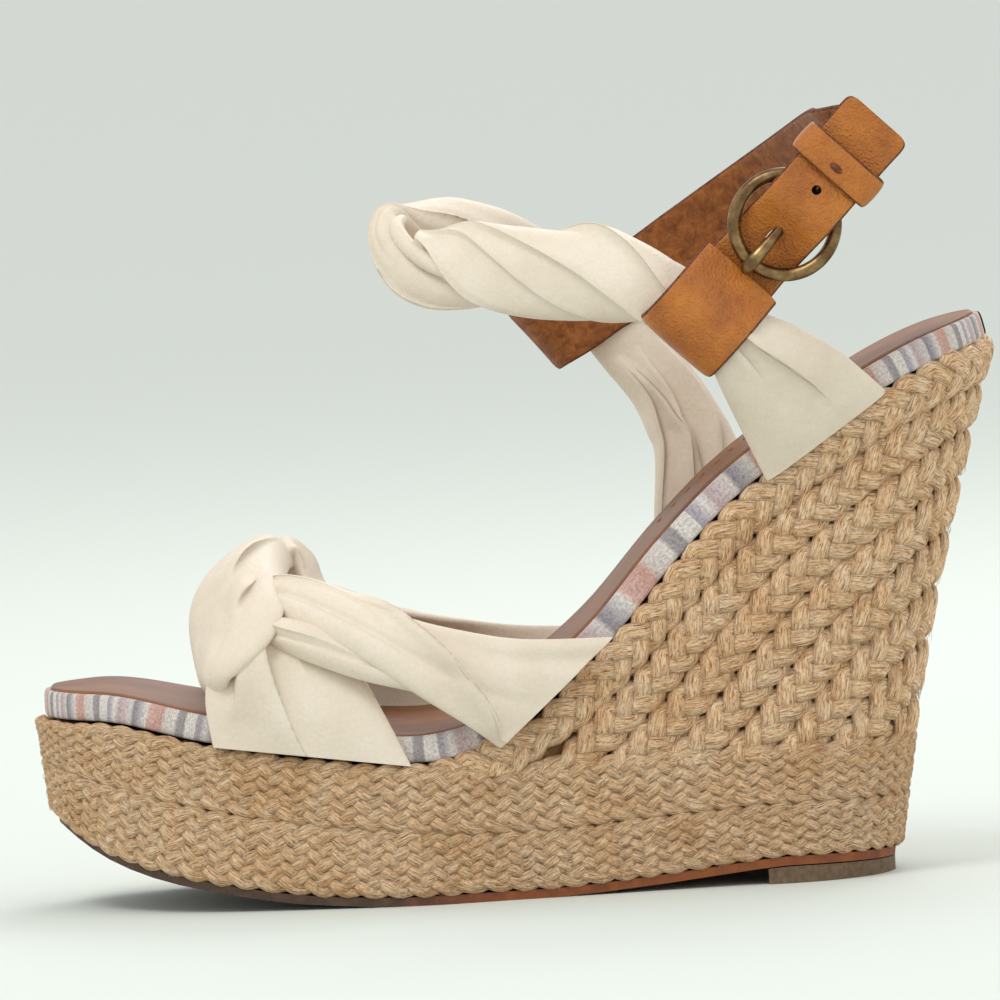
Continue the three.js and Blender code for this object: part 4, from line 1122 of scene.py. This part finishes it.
def make_buckle():
    bm, u, v = grid(120, 20)
    turn, around = 2 * np.pi * u, 2 * np.pi * v
    reach = RING_RADIUS + WIRE_RADIUS * np.cos(around)
    points = (BUCKLE + ALONG_STRAP * (reach * np.cos(turn))[:, None]
              + ACROSS_STRAP * (reach * np.sin(turn))[:, None]
              + OUTWARDS * (WIRE_RADIUS * np.sin(around))[:, None])
    shape_grid(bm, points, (0.07, 0.008))
    seat(finish_mesh("brass_ring", bm, [antique_brass]), "ring", "antique_brass", "buckle_ring")
    loop = [(RING_RADIUS - 2.5 * math.cos(a), 0, -2.5 * math.sin(a))
            for a in np.linspace(0.5, 2 * np.pi - 0.9, 12)]
    path = [(place, 0.95) for place in loop[::-1]]
    path += [((6.5, 0, -0.9), 1.0), ((3, 0, -1.0), 1.05), ((0, 0, -0.5), 1.1), ((-3, 0, 0.9), 1.2),
             ((-6.5, 0, 2.2), 1.35), ((-9.5, 0, 2.9), 1.5), ((-12, 0, 2.5), 1.45), ((-13.4, 0, 1.5), 1.2),
             ((-13.9, 0, 0.9), 0.3)]
    prong = tube(path, (140, 18))
    seat(finish_mesh("brass_prong", prong, [antique_brass]), "prong", "antique_brass", "buckle_prong")


def make_stitches(name, body, slot, places, length):
    """Dashes of thread, each a short rod between two points in shoe mm."""
    parts = []
    for place, ahead, out in places:
        bm, u, v = grid(6, 6)
        middle = place + ahead * (u - 0.5)[:, None] * length + out * (0.25 * np.sin(np.pi * u))[:, None]
        side = np.cross(ahead, out)
        turn = (2 * np.pi * v)[:, None]
        radius = (0.28 * np.sqrt(np.clip(1 - (2 * u - 1) ** 4, 0.01, 1)))[:, None]
        shape_grid(bm, middle + (side * np.cos(turn) + out * np.sin(turn)) * radius, (length / 1000, 0.002))
        parts.append(bm)
    seat(finish_mesh(name, gather(parts), [thread]), body, slot)


make_buckle()
make_stitches("loop_stitches", "sandal", "tan_leather",
              [(by_buckle(-16.4, y, 0.9), ACROSS_STRAP, OUTWARDS) for y in np.arange(-8.4, 8.5, 2.1)], 1.5)

def make_sock_stitches():
    """A plain row of stitches up the middle of the sock."""
    places = []
    for x in np.arange(148.0, 190.0, 3.2):
        slope = float(top_slope(np.array(x)))
        ahead = np.array([math.cos(slope), 0.0, math.sin(slope)])
        out = np.array([-math.sin(slope), 0.0, math.cos(slope)])
        places.append((footbed_place(np.array(x), np.array(6.0), FOOTBED_TOP + 0.1), ahead, out))
    make_stitches("sock_stitches", "sandal", "sock_leather", places, 2.0)


make_sock_stitches()

# ---- Floor, light and camera --------------------------------------------------------------


def make_stage():
    bm = bmesh.new()
    bmesh.ops.create_grid(bm, x_segments=4, y_segments=4, size=30)
    floor = finish_mesh("studio_floor", bm, [])
    material, tree, shader = new_material("matt_studio_paper", Roughness=0.95)
    shader.inputs["Base Color"].default_value = linear("#D6DDD7")
    floor.data.materials.append(material)
    world = bpy.data.worlds.new("studio")
    bpy.context.scene.world = world
    world.use_nodes = True
    world.node_tree.nodes["Background"].inputs["Color"].default_value = linear("#F7F7F5")
    world.node_tree.nodes["Background"].inputs["Strength"].default_value = 1.0
    bpy.context.scene.view_settings.view_transform = "Standard"


def add_light(name, place, size, power, aim):
    light = bpy.data.lights.new(name, "AREA")
    light.size = size
    light.energy = power
    obj = bpy.data.objects.new(name, light)
    bpy.context.scene.collection.objects.link(obj)
    obj.location = place
    obj.rotation_euler = (Vector(aim) - Vector(place)).to_track_quat("-Z", "Y").to_euler()


def make_camera():
    aim = Vector(place_in_frame([(107.1, 0, 86.9)])[0])
    elevation, roll, distance = math.radians(4.2), math.radians(2.6), 5.0
    view = Vector((0, math.cos(elevation), -math.sin(elevation)))
    data = bpy.data.cameras.new("camera")
    data.sensor_width = 36
    data.lens = 36 * distance / 0.225
    camera = bpy.data.objects.new("camera", data)
    bpy.context.scene.collection.objects.link(camera)
    turn = view.to_track_quat("-Z", "Y").to_matrix() @ Matrix.Rotation(-roll, 3, "Z")
    camera.matrix_world = Matrix.Translation(aim - view * distance) @ turn.to_4x4()
    bpy.context.scene.camera = camera


make_stage()
add_light("key", (-0.55, -0.7, 1.3), 0.5, 6.5, (0, 0, 0.08))
add_light("fill", (0.9, -0.8, 0.5), 1.0, 1.0, (0, 0, 0.08))
add_light("back", (0.3, 0.8, 0.9), 0.6, 4, (0, 0, 0.1))
make_camera()
